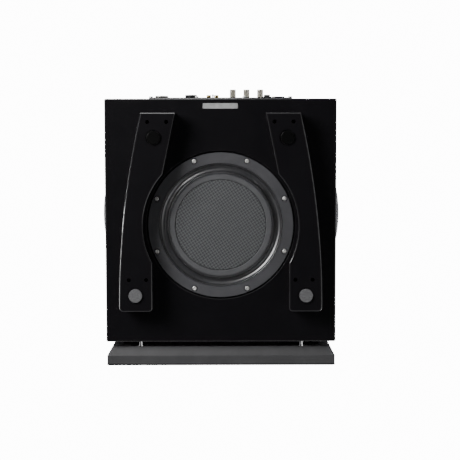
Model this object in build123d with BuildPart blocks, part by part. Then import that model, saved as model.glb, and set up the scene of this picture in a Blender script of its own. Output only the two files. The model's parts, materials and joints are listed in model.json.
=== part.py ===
from build123d import *
import os
from math import cos, radians, sin

# Powered home subwoofer with an active driver behind the front grille and a passive radiator that fires
# down between two foot rails. Millimetres, +Z up, the front faces -Y. The origin is on the floor, under the
# middle of the whole object's bounding box. Left and right are as seen from the front, so right is +X.

# ---------------------------------------------------------------- cabinet
cabinet_width = 403.4
cabinet_depth = 425.4
cabinet_height = 376.0
panel = 20.0  # side, top, bottom and back panels
baffle = 25.0  # front panel, which carries the driver
cabinet_round = 3.0

# ---------------------------------------------------------------- fits
slip = 0.1  # radial clearance of screws, cups and bushes in their holes
end_gap = 0.2  # free space past the end of a screw or a cup
screw_play = 0.3  # radial clearance of a screw in a plate that it clamps

# ---------------------------------------------------------------- foot rails and pads
rail_height = 37.0
rail_side_inset = 26.9  # from the cabinet's side to the rail's outer face
rail_front_width = 57.0
rail_rear_width = 59.5
rail_rear_inset = 64.9  # the rails toe in towards the back
rail_front_inset = 59.0  # from the cabinet's front to the rails' front end
rail_back_inset = 25.7
rail_toe_start = 8.0  # length of the straight stretch of the outer face at the front
rail_outer_corner = 7.0
rail_inner_corner = 6.0
rail_edge_round = 2.4
rail_clearance = 3.8  # between the radiator's rebate and the rails' hollowed inner face
rail_front_pair = 29.6  # spacing of each pair of screws
rail_rear_pair = 32.4
rail_front_screws = 55.0  # from the rail's end
rail_rear_screws = 15.0
rail_screw_head_r = 3.1
rail_screw_round = 1.6
rail_screw_sink = 14.0  # how deep the heads sit in the rail
rail_screw_bite = 13.0  # length in the cabinet's bottom
rail_screws_in = 3.2  # from the rail's middle towards the cabinet's middle, at the front
rail_screws_out = 1.2  # from the rail's middle towards the cabinet's side, at the back
pad_r = 11.6
pad_proud = 3.0
pad_sink = 2.0
pad_clearance = 1.8
pad_round = 0.8
front_pad_out = 3.8  # from the middle of the front screws
rear_pad_out = 6.0  # from the middle of the rear screws
front_pad_back = 27.6  # from the rails' front end
rear_pad_front = 42.0  # from the rails' rear end

# ---------------------------------------------------------------- driver and radiator, 250 mm class
frame_r = 126.5
flange = 5.0
rebate_gap = 3.2
gasket_thickness = 1.0
flange_width = 18.3
surround_width = 19.35
cone_ring_width = 9.35  # the cone that shows between the surround and the radiator's disc
wall_inset = 14.5  # from the flange's outer edge to the outside of the frame's wall
wall_clearance = 1.0
frame_wall = 3.0
frame_foot = 4.0  # straight length of the frame's wall under the flange
frame_ledge = 2.5  # thickness of the ledge that carries the spider
frame_ledge_width = 11.0
roll_r = 5.6  # inside of the surround's half roll
roll_shift = 0.8  # from the surround's middle, outwards
surround_thickness = 1.2
surround_depth = 1.8  # from the flange's face back to the surround's lands
surround_seat = 1.8  # width of the frame's seat under the surround
sheet = 1.5  # thickness of cones and discs
cone_land = 3.2  # width of the cone's land under the surround
bolt_inset = 5.9  # from the flange's outer edge to the bolt circle
bolt_count = 8
bolt_sink = 3.0
bolt_sink_r = 5.2
bolt_head_r = 3.9
bolt_head = 2.4
bolt_round = 1.7
bolt_r = 2.0
bolt_length = 18.4
bolt_clearance = 0.2
bolt_hex = 1.6
bolt_hex_depth = 1.4
gasket_edge = 0.3  # how far the gasket stays inside the flange

radiator_shift = -6.9  # from the cabinet's middle, towards the front
radiator_depth = 44.0
radiator_ledge_r = 54.0
radiator_foot = 16.0  # from the ledge's inner edge to the foot of the sloping wall
radiator_neck_r = 35.0
radiator_neck_rise = 12.5  # from the radiator's back to the start of its neck
radiator_neck_end = 3.0
ring_depth = 1.2  # from the flange's face to the ring that the cone shows
ring_bevel = 0.8
disc_depth = 2.4  # from the flange's face to the woven disc
disc_seat = 1.5
weight_height = 16.0
weight_bore_r = 4.0
vent_edge = 6.0  # solid metal between the flange and a frame's windows
radiator_vent_r = 24.0
driver_vent_r = 21.0
vent_count = 6
vent_shift = 5.5  # from the middle of the sloping wall, outwards
weight_gap = 1.0

driver_rise = 0.0  # from the middle of the cabinet's height
driver_depth = 78.0  # flange face to the top plate
ledge_depth = 57.5
driver_ledge_r = 56.0
coil_r = 25.0
former_thickness = 0.5
winding_thickness = 1.9
winding_length = 24.0
coil_gap = 0.8  # free space each side of the coil
plate_thickness = 8.0
magnet_thickness = 20.0
magnet_r = 72.0
steel_r = 64.0
vent_r = 8.0
cap_r = 43.0
cap_rise = 12.0
cap_thickness = 1.0
cap_lift = 0.1  # glue line under the cap's rim
spider_thickness = 0.9
spider_waves = 3
spider_rise = 2.6
spider_inner_land = 2.0
spider_outer_land = 8.0
spider_reach = 10.0  # how far the spider lies on the ledge
throat_width = 26.0  # of the basket's end, which carries the top plate
throat_wall = 3.5
neck_rise = 9.5  # from the ledge to the start of the cone's neck
neck_wall = 1.8
cone_lip = 7.0
magnet_clearance = 9.0  # from the gap in the top plate to the magnet's bore
steel_round = 2.0

# ---------------------------------------------------------------- grille
grille_gap = 10.2  # between the cabinet and the grille's rear face
grille_side = 0.5  # how much narrower than the cabinet, each side
grille_top = 5.0  # how much lower than the cabinet, top and bottom
grille_band = 17.6
grille_taper = 15.4
grille_setback = 9.5
grille_border = 26.0
grille_corner = 2.5
cloth = 1.2
cloth_tuck = 0.4
window_corner = 12.0
pin_r = 3.2
pin_inset_x = 59.6  # from the cabinet's side
pin_inset_z = 18.5  # from the cabinet's top and bottom
pin_collar_r = 4.4
pin_collar = 2.0
pin_in_cup = 10.0
pin_in_frame = 8.0
pin_round = 1.2
cup_r = 5.0
cup_flange_r = 6.0
cup_flange = 1.2
cup_depth = 13.0
cup_clearance = 0.3
cup_bottom = 1.0

# ---------------------------------------------------------------- handles
handle_proud = 25.0
handle_span = 208.0
handle_grip = 6.0  # thickness at the middle
handle_reach = 160.0  # length of the finger gap
handle_height = 22.0
handle_down = 159.0  # from the cabinet's top to the handle's middle
handle_end = 2.5  # thickness where the bow meets the cabinet
handle_round = 1.5
handle_screw_r = 2.5
handle_screw_head_r = 4.7
handle_screw_head = 3.5
handle_thread = 3.6

# ---------------------------------------------------------------- inside the cabinet
brace = 16.0
brace_width = 34.0
brace_gap = 5.0  # between the brace and the amplifier's case
brace_corner = 20.0
lining = 18.0
lining_drop = 90.0
lining_back_gap = 3.0
lining_front_gap = 12.0
label_width = 60.5
label_length = 9.4
label_thickness = 0.2
label_inset = 8.0
label_corner = 1.0
label_across = 0.4

# ---------------------------------------------------------------- amplifier
amp_width = 255.0
amp_height = 276.0
amp_up = 50.0  # from the cabinet's underside to the plate's lower edge
amp_plate_thickness = 3.0
amp_corner = 4.0
amp_gasket_thickness = 0.8
amp_lip = 8.0
amp_open_corner = 2.0
amp_housing_depth = 60.0
amp_housing_gap = 1.0
amp_housing_wall = 1.0
amp_screw_head_r = 3.4
amp_screw_head = 2.2
amp_screw_r = 1.9
amp_screw_length = 16.0
amp_screw_round = 1.0
amp_screw_drive_r = 1.3
amp_screw_drive = 1.2
control_row = 200.0  # heights of the rows above the plate's lower edge
signal_row = 120.0
power_row = 50.0
knob_row = (23.0, 49.6, 76.2)  # across from the plate's middle, as seen from behind
knob_r = 5.9
knob_tip = 26.8  # how far the knobs reach behind the cabinet
knob_gap = 1.2
knob_flute_r = 0.45
knob_flutes = 24
knob_flute_share = 0.72  # how much of the knob's length is fluted
knob_edge = 0.7
knob_mark = 1.0
knob_mark_depth = 0.6
shaft_r = 3.0
shaft_in_knob = 14.0
shaft_foot = 3.0  # from the potentiometer's back to its bore
shaft_clearance = 0.08
bush_r = 3.6
pot_size = 17.0
pot_depth = 9.0
pot_gap = 0.4
bush_proud = 0.4
toggle_across = -16.0
toggle_tip = 18.2
toggle_tilt = 12.0
toggle_bush_r = 3.2
toggle_bore_r = 2.4
toggle_r = 1.2
toggle_body = (8.0, 13.0, 9.6)
toggle_bush = 5.0  # how far the bush stands out of the plate
toggle_nut_r = 4.8
toggle_nut = 1.8
toggle_foot = 1.4
toggle_pivot_out = 1.0  # the ball's middle, outside the plate
toggle_play = 0.6
jack_across = -15.5
jack_pitch = 14.0
jack_r = 4.15
jack_height = 8.8
jack_bore_r = 1.75
jack_bore = 9.0
jack_body = 8.0
jack_clearance = 0.6
jack_carrier = 2.0
jack_carrier_margin = 8.0
speaker_socket_across = -56.0
speaker_socket_r = 11.2
speaker_socket_height = 9.3
speaker_groove = (5.6, 8.6, 16.0)  # inner and outer radius, and depth
xlr_inset = 20.5  # from the plate's left edge, as seen from behind
xlr_ring_r = 11.6
xlr_height = 4.8
xlr_groove = (7.4, 9.4, 12.0)
xlr_contact_r = 1.25
xlr_contacts_r = 3.6
xlr_latch = (7.0, 3.4)
socket_flange_width = 26.0
socket_flange_height = 31.0
socket_flange = 2.0
socket_corner = 2.5
socket_body_r = 10.0
socket_body_depth = 22.0
rocker_to_inlet = 19.8
rocker_width = 11.0
rocker_r = 8.4
rocker_tilt = 9.0
rocker_bezel = 3.0
rocker_bezel_lip = 1.2
rocker_gap = 0.4
rocker_up = 3.0
switch_depth = 16.0
switch_wall = 1.0
rocker_pivot_out = 0.5
rocker_waist = 3.3  # from the pivot to the middle of the hollowed face
rocker_horn = 5.9  # from the pivot to the ends of the face
rocker_back = 4.5
well_depth = 7.0
inlet_inset = 23.7  # from the plate's right edge
inlet_width = 22.0
inlet_height = 46.0
inlet_lip = 2.6
inlet_cavity_width = 16.5
inlet_cavity_height = 24.3
inlet_cavity_depth = 17.0
inlet_body_depth = 24.0
inlet_rise = 7.0  # the cavity sits above the module's middle
inlet_corner_cut = 6.0
inlet_shoulder = 1.0  # the flange's overlap round the body
blade = (4.0, 2.0, 14.0)
blade_spread = 7.0
blade_offset = 2.0
fuse_width = 14.0
fuse_height = 8.0
fuse_depth = 18.0
fuse_drop = 15.5
fuse_clearance = 0.4
fuse_wall = 1.5
fuse_nail = (6.0, 2.4, 1.0)  # the notch that a fingernail pulls
led_across = -62.0
led_r = 2.5
led_body = 4.0
led_proud = 1.4
led_round = 1.2
transformer_across = -10.0
transformer_row = 60.0
transformer_r = 46.0
transformer_bore_r = 16.0
transformer_height = 40.0
transformer_round = 7.0
transformer_gap = 1.0
board_margin = 11.5  # from the case's hole in the cabinet
board_height = 112.0
board_thickness = 1.6
board_depth = 16.0
board_drop = 8.0
capacitor_r = 12.5
capacitor_height = 34.0
capacitor_pitch = 30.0
capacitor_drop = 18.0
capacitor_inset = 11.5
capacitor_count = 4
capacitor_round = 1.5

# ---------------------------------------------------------------- places worked out from the sizes
base_z = pad_proud + rail_height
top_z = base_z + cabinet_height
grille_depth = grille_band + grille_taper
front_reach = grille_gap + grille_depth
centre_y = (front_reach - knob_tip) / 2
front_y = centre_y - cabinet_depth / 2
back_y = centre_y + cabinet_depth / 2
half_width = cabinet_width / 2
inner_half = half_width - panel
handle_z = top_z - handle_down
driver_z = base_z + cabinet_height / 2 + driver_rise
radiator_y = centre_y + radiator_shift
rebate_r = frame_r + rebate_gap
bolt_circle_r = frame_r - bolt_inset
frame_wall_r = frame_r - wall_inset
opening_r = frame_wall_r + wall_clearance
roll_frame_r = frame_r - flange_width  # inner edge of the flange, where the surround starts
cone_edge_r = roll_frame_r - surround_width
disc_r = cone_edge_r - cone_ring_width
rebate_depth = flange + gasket_thickness
land_depth = surround_depth + surround_thickness
roll_mid_r = (roll_frame_r + cone_edge_r) / 2 + roll_shift
cone_r = cone_edge_r + cone_land
seat_r = roll_frame_r - surround_seat
xlr_across = xlr_inset - amp_width / 2
inlet_across = amp_width / 2 - inlet_inset
rocker_across = inlet_across - rocker_to_inlet
board_width = amp_width - 2 * (amp_lip + board_margin)
plate_inner_y = back_y + amp_gasket_thickness
plate_outer_y = plate_inner_y + amp_plate_thickness
amp_open_width = amp_width - 2 * amp_lip
amp_open_height = amp_height - 2 * amp_lip
plate_z = base_z + amp_up
knob_z = plate_z + control_row
signal_z = plate_z + signal_row
power_z = plate_z + power_row
housing_y = back_y - amp_housing_depth
brace_back_y = housing_y - brace_gap
grille_rear_y = front_y - grille_gap
grille_front_y = front_y - front_reach

radiator_axis = Axis((0, radiator_y, base_z), (0, 0, 1))
driver_axis = Axis((0, front_y, driver_z), (0, 1, 0))


# Planes. A "depth" plane lies across the driver's or the radiator's axis, that far inside the cabinet.
# A "section" plane holds the axis: its first coordinate is the radius and its second is the depth.
def level(z):
    return Plane(origin=(0, centre_y, z), x_dir=(1, 0, 0), z_dir=(0, 0, 1))


def facing_front(y):
    return Plane(origin=(0, y, 0), x_dir=(1, 0, 0), z_dir=(0, -1, 0))


def facing_back(y):
    return Plane(origin=(0, y, 0), x_dir=(-1, 0, 0), z_dir=(0, 1, 0))


def radiator_at(depth):
    return Plane(origin=(0, radiator_y, base_z + depth), x_dir=(1, 0, 0), z_dir=(0, 0, 1))


def driver_at(depth):
    return Plane(origin=(0, front_y + depth, driver_z), x_dir=(1, 0, 0), z_dir=(0, 1, 0))


radiator_section = Plane(origin=(0, radiator_y, base_z), x_dir=(1, 0, 0), z_dir=(0, -1, 0))
driver_section = Plane(origin=(0, front_y, driver_z), x_dir=(1, 0, 0), z_dir=(0, 0, 1))


def outline(plane, *points):
    """A closed outline of straight lines, filled."""
    with BuildSketch(plane) as flat:
        with BuildLine():
            Polyline(*points, close=True)
        make_face()
    return flat.sketch


def ring(plane, inner, outer):
    """A flat ring, or a disc where the inner radius is 0."""
    with BuildSketch(plane) as flat:
        Circle(outer)
        if inner > 0:
            Circle(inner, mode=Mode.SUBTRACT)
    return flat.sketch


def at_points(plane, points, radius):
    """Equal discs at a list of points on a plane."""
    with BuildSketch(plane) as flat:
        with Locations(*points):
            Circle(radius)
    return flat.sketch


def bolt_discs(plane, radius):
    """Equal discs on the frame's bolt circle."""
    with BuildSketch(plane) as flat:
        with PolarLocations(bolt_circle_r, bolt_count, start_angle=180 / bolt_count):
            Circle(radius)
    return flat.sketch


def plate_sketch(plane, width, height, corner, across, up):
    """A rectangle with rounded corners, centred at a point of a plane."""
    with BuildSketch(plane) as flat:
        with Locations((across, up)):
            RectangleRounded(width, height, corner)
    return flat.sketch


# ---------------------------------------------------------------- hole positions, shared by what they join
handle_screw_y = (handle_span + handle_reach) / 4
handle_screws_at = [(handle_z, y) for y in (centre_y - handle_screw_y, centre_y + handle_screw_y)]

rail_out_front = half_width - rail_side_inset
rail_in_front = rail_out_front - rail_front_width
rail_out_rear = half_width - rail_rear_inset
rail_in_rear = rail_out_rear - rail_rear_width
rail_front_end = -cabinet_depth / 2 + rail_front_inset
rail_rear_end = cabinet_depth / 2 - rail_back_inset
front_mid = (rail_in_front + rail_out_front) / 2 - rail_screws_in
rear_mid = (rail_in_rear + rail_out_rear) / 2 + rail_screws_out
rail_screws_at = [
    (front_mid - rail_front_pair / 2, rail_front_end + rail_front_screws),
    (front_mid + rail_front_pair / 2, rail_front_end + rail_front_screws),
    (rear_mid - rail_rear_pair / 2, rail_rear_end - rail_rear_screws),
    (rear_mid + rail_rear_pair / 2, rail_rear_end - rail_rear_screws),
]
front_pad_at = (front_mid + front_pad_out, rail_front_end + front_pad_back)
rear_pad_at = (rear_mid + rear_pad_out, rail_rear_end - rear_pad_front)


def both_sides(points):
    return [(side * x, y) for side in (1, -1) for x, y in points]


pin_x = half_width - pin_inset_x
pins_at = both_sides([(pin_x, base_z + pin_inset_z), (pin_x, top_z - pin_inset_z)])

amp_edge = amp_lip / 2
amp_mid_z = plate_z + amp_height / 2
amp_screws_at = both_sides(
    [(amp_width / 2 - amp_edge, amp_mid_z + k * (amp_height / 2 - amp_edge)) for k in (-1, -1 / 3, 1 / 3, 1)]
    + [(amp_width / 6, amp_mid_z + k * (amp_height / 2 - amp_edge)) for k in (-1, 1)]
)
knobs_at = [(across, knob_z) for across in knob_row]
jacks_at = [
    (jack_across + i * jack_pitch / 2, signal_z + j * jack_pitch / 2) for i in (-1, 1) for j in (-1, 1)
]


# ---------------------------------------------------------------- cabinet
def frame_hole(wall_thickness):
    """Half section of the rebated hole that takes a frame, with its edge eased."""
    ease = 0.8
    return [
        (0, 0),
        (rebate_r + ease, 0),
        (rebate_r, ease),
        (rebate_r, rebate_depth),
        (opening_r, rebate_depth),
        (opening_r, wall_thickness),
        (0, wall_thickness),
    ]


with BuildPart() as cabinet:
    with BuildSketch(level(base_z)):
        Rectangle(cabinet_width, cabinet_depth)
    extrude(amount=cabinet_height)
    fillet(cabinet.edges(), radius=cabinet_round)
    with BuildSketch(level(base_z + panel)):
        with Locations((0, (baffle - panel) / 2)):
            Rectangle(cabinet_width - 2 * panel, cabinet_depth - baffle - panel)
    extrude(amount=cabinet_height - 2 * panel, mode=Mode.SUBTRACT)
    revolve(outline(radiator_section, *frame_hole(panel)), axis=radiator_axis, mode=Mode.SUBTRACT)
    revolve(outline(driver_section, *frame_hole(baffle)), axis=driver_axis, mode=Mode.SUBTRACT)
    bolt_bite = bolt_length + end_gap - rebate_depth
    for bolts in (radiator_at(rebate_depth), driver_at(rebate_depth)):
        extrude(bolt_discs(bolts, bolt_r + bolt_clearance / 2), amount=bolt_bite, mode=Mode.SUBTRACT)
    amp_hole = plate_sketch(
        facing_back(back_y - panel), amp_open_width, amp_open_height, amp_open_corner, 0, amp_mid_z
    )
    extrude(amp_hole, amount=panel, mode=Mode.SUBTRACT)
    amp_bite = amp_screw_length - amp_plate_thickness - amp_gasket_thickness + end_gap
    amp_holes = at_points(facing_back(back_y), amp_screws_at, amp_screw_r + slip)
    extrude(amp_holes, amount=-amp_bite, mode=Mode.SUBTRACT)
    cup_holes = at_points(facing_front(front_y), pins_at, cup_r + slip)
    extrude(cup_holes, amount=-(cup_depth + end_gap), mode=Mode.SUBTRACT)
    rail_holes = at_points(level(base_z), both_sides(rail_screws_at), bolt_r + slip)
    extrude(rail_holes, amount=rail_screw_bite + end_gap, mode=Mode.SUBTRACT)
    for side in (1, -1):
        wall_face = Plane(origin=(side * inner_half, 0, 0), x_dir=(0, 0, 1), z_dir=(side, 0, 0))
        points = [(z, -side * y) for z, y in handle_screws_at]
        extrude(at_points(wall_face, points, handle_screw_r + slip), amount=panel, mode=Mode.SUBTRACT)
cabinet.part.label = "cabinet"

# The brace is an upside-down U glued across the cabinet, between the driver and the amplifier.
with BuildPart() as cabinet_brace:
    with BuildSketch(facing_front(brace_back_y)):
        with Locations((0, (base_z + top_z) / 2)):
            Rectangle(2 * inner_half, cabinet_height - 2 * panel)
        with Locations((0, (base_z + top_z) / 2 - brace_width / 2)):
            window_width = 2 * (inner_half - brace_width)
            Rectangle(window_width, cabinet_height - 2 * panel - brace_width, mode=Mode.SUBTRACT)
    extrude(amount=brace)
    top_corners = cabinet_brace.edges().filter_by(Axis.Y).group_by(Axis.Z)[-2]
    fillet(top_corners, radius=brace_corner)
cabinet_brace.part.label = "cabinet_brace"

with BuildPart() as damping_lining:
    lining_back = brace_back_y - brace - lining_back_gap
    lining_front = front_y + baffle + lining_front_gap
    with BuildSketch(facing_front(lining_back)):
        with Locations((0, top_z - panel)):
            Rectangle(2 * inner_half, lining_drop, align=(Align.CENTER, Align.MAX))
            Rectangle(
                2 * (inner_half - lining),
                lining_drop,
                align=(Align.CENTER, Align.MAX),
                mode=Mode.SUBTRACT,
            )
            Rectangle(2 * inner_half, lining, align=(Align.CENTER, Align.MAX))
    extrude(amount=lining_back - lining_front)
damping_lining.part.label = "damping_lining"

with BuildPart() as rating_label:
    with BuildSketch(level(base_z)):
        with Locations((label_across, cabinet_depth / 2 - label_inset - label_length / 2)):
            RectangleRounded(label_width, label_length, label_corner)
    extrude(amount=-label_thickness)
rating_label.part.label = "rating_label"

# ---------------------------------------------------------------- foot rails
with BuildPart() as foot_rail_right:
    with BuildSketch(level(pad_proud)) as rail_shape:
        with BuildLine():
            toe = (rail_out_front, rail_front_end + rail_toe_start)
            outer_face = Line((rail_out_front, rail_front_end), toe)
            toe_in = TangentArc(toe, (rail_out_rear, rail_rear_end), tangent=outer_face % 1)
            Polyline(
                toe_in @ 1,
                (rail_in_rear, rail_rear_end),
                (rail_in_front, radiator_shift),
                (rail_in_front, rail_front_end),
                outer_face @ 0,
            )
        make_face()
        front_corners = rail_shape.vertices().group_by(Axis.Y)[0].sort_by(Axis.X)
        fillet(front_corners[-1], radius=rail_outer_corner)
        fillet(rail_shape.vertices().group_by(Axis.Y)[0].sort_by(Axis.X)[0], radius=rail_inner_corner)
        with Locations((0, radiator_shift)):
            Circle(rebate_r + rail_clearance, mode=Mode.SUBTRACT)
    extrude(amount=rail_height)
    fillet(foot_rail_right.faces().sort_by(Axis.Z)[0].edges(), radius=rail_edge_round)
    for pad_at in (front_pad_at, rear_pad_at):
        recess = at_points(level(pad_proud), [pad_at], pad_r + pad_clearance)
        extrude(recess, amount=pad_sink, mode=Mode.SUBTRACT)
    sinks = at_points(level(pad_proud), rail_screws_at, rail_screw_head_r + bolt_clearance)
    extrude(sinks, amount=rail_screw_sink, mode=Mode.SUBTRACT)
    shanks = at_points(level(pad_proud), rail_screws_at, bolt_r + bolt_clearance)
    extrude(shanks, amount=rail_height, mode=Mode.SUBTRACT)
foot_rail_right.part.label = "foot_rail_right"

with BuildPart() as foot_rail_left:
    mirror(foot_rail_right.part, about=Plane.YZ)
foot_rail_left.part.label = "foot_rail_left"

with BuildPart() as rail_screws:
    head_face = level(pad_proud + rail_screw_sink - bolt_head)
    extrude(at_points(head_face, both_sides(rail_screws_at), rail_screw_head_r), amount=bolt_head)
    fillet(rail_screws.faces().filter_by(Plane.XY).group_by(Axis.Z)[0].edges(), radius=rail_screw_round)
    shanks = at_points(level(pad_proud + rail_screw_sink), both_sides(rail_screws_at), bolt_r)
    extrude(shanks, amount=rail_height - rail_screw_sink + rail_screw_bite)
rail_screws.part.label = "rail_screws"

with BuildPart() as front_foot_pads:
    extrude(at_points(level(0), both_sides([front_pad_at]), pad_r), amount=pad_proud + pad_sink)
    fillet(front_foot_pads.faces().filter_by(Plane.XY).group_by(Axis.Z)[0].edges(), radius=pad_round)
front_foot_pads.part.label = "front_foot_pads"

with BuildPart() as rear_foot_pads:
    extrude(at_points(level(0), both_sides([rear_pad_at]), pad_r), amount=pad_proud + pad_sink)
    fillet(rear_foot_pads.faces().filter_by(Plane.XY).group_by(Axis.Z)[0].edges(), radius=pad_round)
rear_foot_pads.part.label = "rear_foot_pads"

# ---------------------------------------------------------------- handles
# A shallow bow in plan: the outer arc meets the cabinet at the span's ends, and a second arc clears fingers.
with BuildPart() as handle_right:
    with BuildSketch(level(handle_z - handle_height / 2)):
        with BuildLine():
            end_x = half_width + handle_end
            bow = ThreePointArc(
                (end_x, -handle_span / 2), (half_width + handle_proud, 0), (end_x, handle_span / 2)
            )
            Polyline(bow @ 0, (half_width, -handle_span / 2), (half_width, handle_span / 2), bow @ 1)
        make_face()
        with BuildLine():
            gap_ends = ((half_width, -handle_reach / 2), (half_width, handle_reach / 2))
            ThreePointArc(gap_ends[0], (half_width + handle_proud - handle_grip, 0), gap_ends[1])
            Line(*gap_ends)
        make_face(mode=Mode.SUBTRACT)
    extrude(amount=handle_height)
    outer_bow = handle_right.faces().filter_by(GeomType.CYLINDER).sort_by(SortBy.AREA)[-1]
    fillet(outer_bow.edges().filter_by(GeomType.CIRCLE), radius=handle_round)
    tapped = Plane(origin=(half_width, 0, 0), x_dir=(0, 0, 1), z_dir=(1, 0, 0))
    points = [(z, -y) for z, y in handle_screws_at]
    tapped_holes = at_points(tapped, points, handle_screw_r + slip)
    extrude(tapped_holes, amount=handle_thread + end_gap, mode=Mode.SUBTRACT)
handle_right.part.label = "handle_right"

with BuildPart() as handle_left:
    mirror(handle_right.part, about=Plane.YZ)
handle_left.part.label = "handle_left"

with BuildPart() as handle_screws:
    for side in (1, -1):
        wall_face = Plane(origin=(side * inner_half, 0, 0), x_dir=(0, 0, 1), z_dir=(side, 0, 0))
        points = [(z, -side * y) for z, y in handle_screws_at]
        extrude(at_points(wall_face, points, handle_screw_head_r), amount=-handle_screw_head)
        extrude(at_points(wall_face, points, handle_screw_r), amount=panel + handle_thread)
handle_screws.part.label = "handle_screws"


# ---------------------------------------------------------------- frames shared by driver and radiator
def frame_section(ledge_r, ledge, foot_r, throat):
    """Half section of a cast frame: flange, seat for the surround, sloping wall and spider ledge, and
    whatever follows below the ledge, as a list of points from the outside to the inside."""
    return [
        (roll_frame_r, 0),
        (frame_r, 0),
        (frame_r, flange),
        (frame_wall_r, flange),
        (frame_wall_r, flange + frame_foot),
        (foot_r, ledge + frame_ledge),
        *throat,
        (ledge_r, ledge + frame_ledge),
        (ledge_r, ledge),
        (ledge_r + frame_ledge_width, ledge),
        (frame_wall_r - frame_wall, flange + frame_foot),
        (frame_wall_r - frame_wall, flange),
        (seat_r, flange),
        (seat_r, land_depth),
        (roll_frame_r, land_depth),
    ]


def surround_section(plane, outward):
    """Half section of a rubber surround: a half roll between two flat lands. The roll stands out towards the
    listener, or dips into the cabinet."""
    if outward:
        near, far, crown = surround_depth, land_depth, surround_depth - roll_r
        skin = -surround_thickness
    else:
        near, far, crown = land_depth, surround_depth, land_depth + roll_r
        skin = surround_thickness
    outer_r = roll_r + surround_thickness
    with BuildSketch(plane) as flat:
        with BuildLine():
            Line((cone_edge_r, near), (roll_mid_r - outer_r, near))
            ThreePointArc(
                (roll_mid_r - outer_r, near), (roll_mid_r, crown + skin), (roll_mid_r + outer_r, near)
            )
            Polyline(
                (roll_mid_r + outer_r, near),
                (roll_frame_r - slip, near),
                (roll_frame_r - slip, far),
                (roll_mid_r + roll_r, far),
                (roll_mid_r + roll_r, near),
            )
            ThreePointArc((roll_mid_r + roll_r, near), (roll_mid_r, crown), (roll_mid_r - roll_r, near))
            Polyline(
                (roll_mid_r - roll_r, near),
                (roll_mid_r - roll_r, far),
                (cone_edge_r, far),
                (cone_edge_r, near),
            )
        make_face()
    return flat.sketch


def spider_section(inner_r, outer_r, depth):
    """Half section of a sprung cloth disc, corrugated between two flat lands."""
    face = depth - spider_thickness
    start = inner_r + spider_inner_land
    wave = (outer_r - spider_outer_land - start) / (2 * spider_waves)
    front = [(inner_r, face), (start, face)]
    for k in range(1, 2 * spider_waves):
        front.append((start + k * wave, face - spider_rise * (k % 2)))
    front += [(outer_r - spider_outer_land, face), (outer_r, face)]
    behind = [(r, d + spider_thickness) for r, d in reversed(front)]
    return front + behind


# ---------------------------------------------------------------- passive radiator
radiator_ledge = radiator_depth - frame_ledge
with BuildPart() as radiator_frame:
    section = frame_section(radiator_ledge_r, radiator_ledge, radiator_ledge_r + radiator_foot, [])
    revolve(outline(radiator_section, *section), axis=radiator_axis)
    with BuildSketch(radiator_at(flange + vent_edge)):
        with PolarLocations((frame_wall_r + radiator_ledge_r) / 2 + vent_shift, vent_count):
            Circle(radiator_vent_r)
    extrude(amount=radiator_depth - flange - 2 * vent_edge, mode=Mode.SUBTRACT)
    extrude(bolt_discs(radiator_at(0), bolt_sink_r), amount=bolt_sink, mode=Mode.SUBTRACT)
    extrude(bolt_discs(radiator_at(0), bolt_r + bolt_clearance), amount=flange, mode=Mode.SUBTRACT)
radiator_frame.part.label = "radiator_frame"

with BuildPart() as radiator_surround:
    revolve(surround_section(radiator_section, outward=False), axis=radiator_axis)
radiator_surround.part.label = "radiator_surround"

# The cone's outer ring shows between the surround and the disc, which lies a little lower in its seat.
neck_depth = radiator_depth - radiator_neck_rise
neck_end = radiator_depth - radiator_neck_end
disc_back = disc_depth + sheet
with BuildPart() as radiator_cone:
    section = [
        (disc_r - disc_seat, disc_back),
        (disc_r + slip, disc_back),
        (disc_r + slip, ring_depth + ring_bevel),
        (disc_r + slip + ring_bevel, ring_depth),
        (cone_edge_r - slip, ring_depth),
        (cone_edge_r - slip, land_depth),
        (cone_r, land_depth),
        (cone_r, land_depth + sheet),
        (disc_r + disc_seat, disc_back + sheet),
        (radiator_neck_r, neck_depth + sheet / 2),
        (radiator_neck_r, neck_end),
        (radiator_neck_r - sheet, neck_end),
        (radiator_neck_r - sheet, neck_depth),
    ]
    revolve(outline(radiator_section, *section), axis=radiator_axis)
radiator_cone.part.label = "radiator_cone"

with BuildPart() as radiator_disc:
    extrude(ring(radiator_at(disc_depth), 0, disc_r), amount=sheet)
radiator_disc.part.label = "radiator_disc"

with BuildPart() as radiator_spider:
    section = spider_section(radiator_neck_r + slip, radiator_ledge_r + spider_reach, radiator_ledge)
    revolve(outline(radiator_section, *section), axis=radiator_axis)
radiator_spider.part.label = "radiator_spider"

with BuildPart() as radiator_weight:
    weight_face = radiator_at(neck_depth + weight_gap)
    weight_shape = ring(weight_face, weight_bore_r, radiator_neck_r - sheet - slip)
    extrude(weight_shape, amount=weight_height)
radiator_weight.part.label = "radiator_weight"

with BuildPart() as frame_gaskets:
    for cushion in (radiator_at(flange), driver_at(flange)):
        extrude(ring(cushion, frame_wall_r + gasket_edge, frame_r - gasket_edge), amount=gasket_thickness)
        extrude(bolt_discs(cushion, bolt_r + bolt_clearance), amount=gasket_thickness, mode=Mode.SUBTRACT)
frame_gaskets.part.label = "frame_gaskets"

with BuildPart() as frame_screws:
    for place in (radiator_at, driver_at):
        head_face = place(bolt_sink - bolt_head)
        extrude(bolt_discs(head_face, bolt_head_r), amount=bolt_head)
        head_edges = frame_screws.edges(Select.LAST).filter_by(GeomType.CIRCLE)
        rims = [edge for edge in head_edges if abs(head_face.to_local_coords(edge.center()).Z) < slip]
        fillet(rims, radius=bolt_round)
        extrude(bolt_discs(place(bolt_sink), bolt_r), amount=bolt_length - bolt_sink)
        with BuildSketch(head_face) as sockets:
            with PolarLocations(bolt_circle_r, bolt_count, start_angle=180 / bolt_count):
                RegularPolygon(bolt_hex, 6)
        extrude(amount=bolt_hex_depth, mode=Mode.SUBTRACT)
frame_screws.part.label = "frame_screws"

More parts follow.
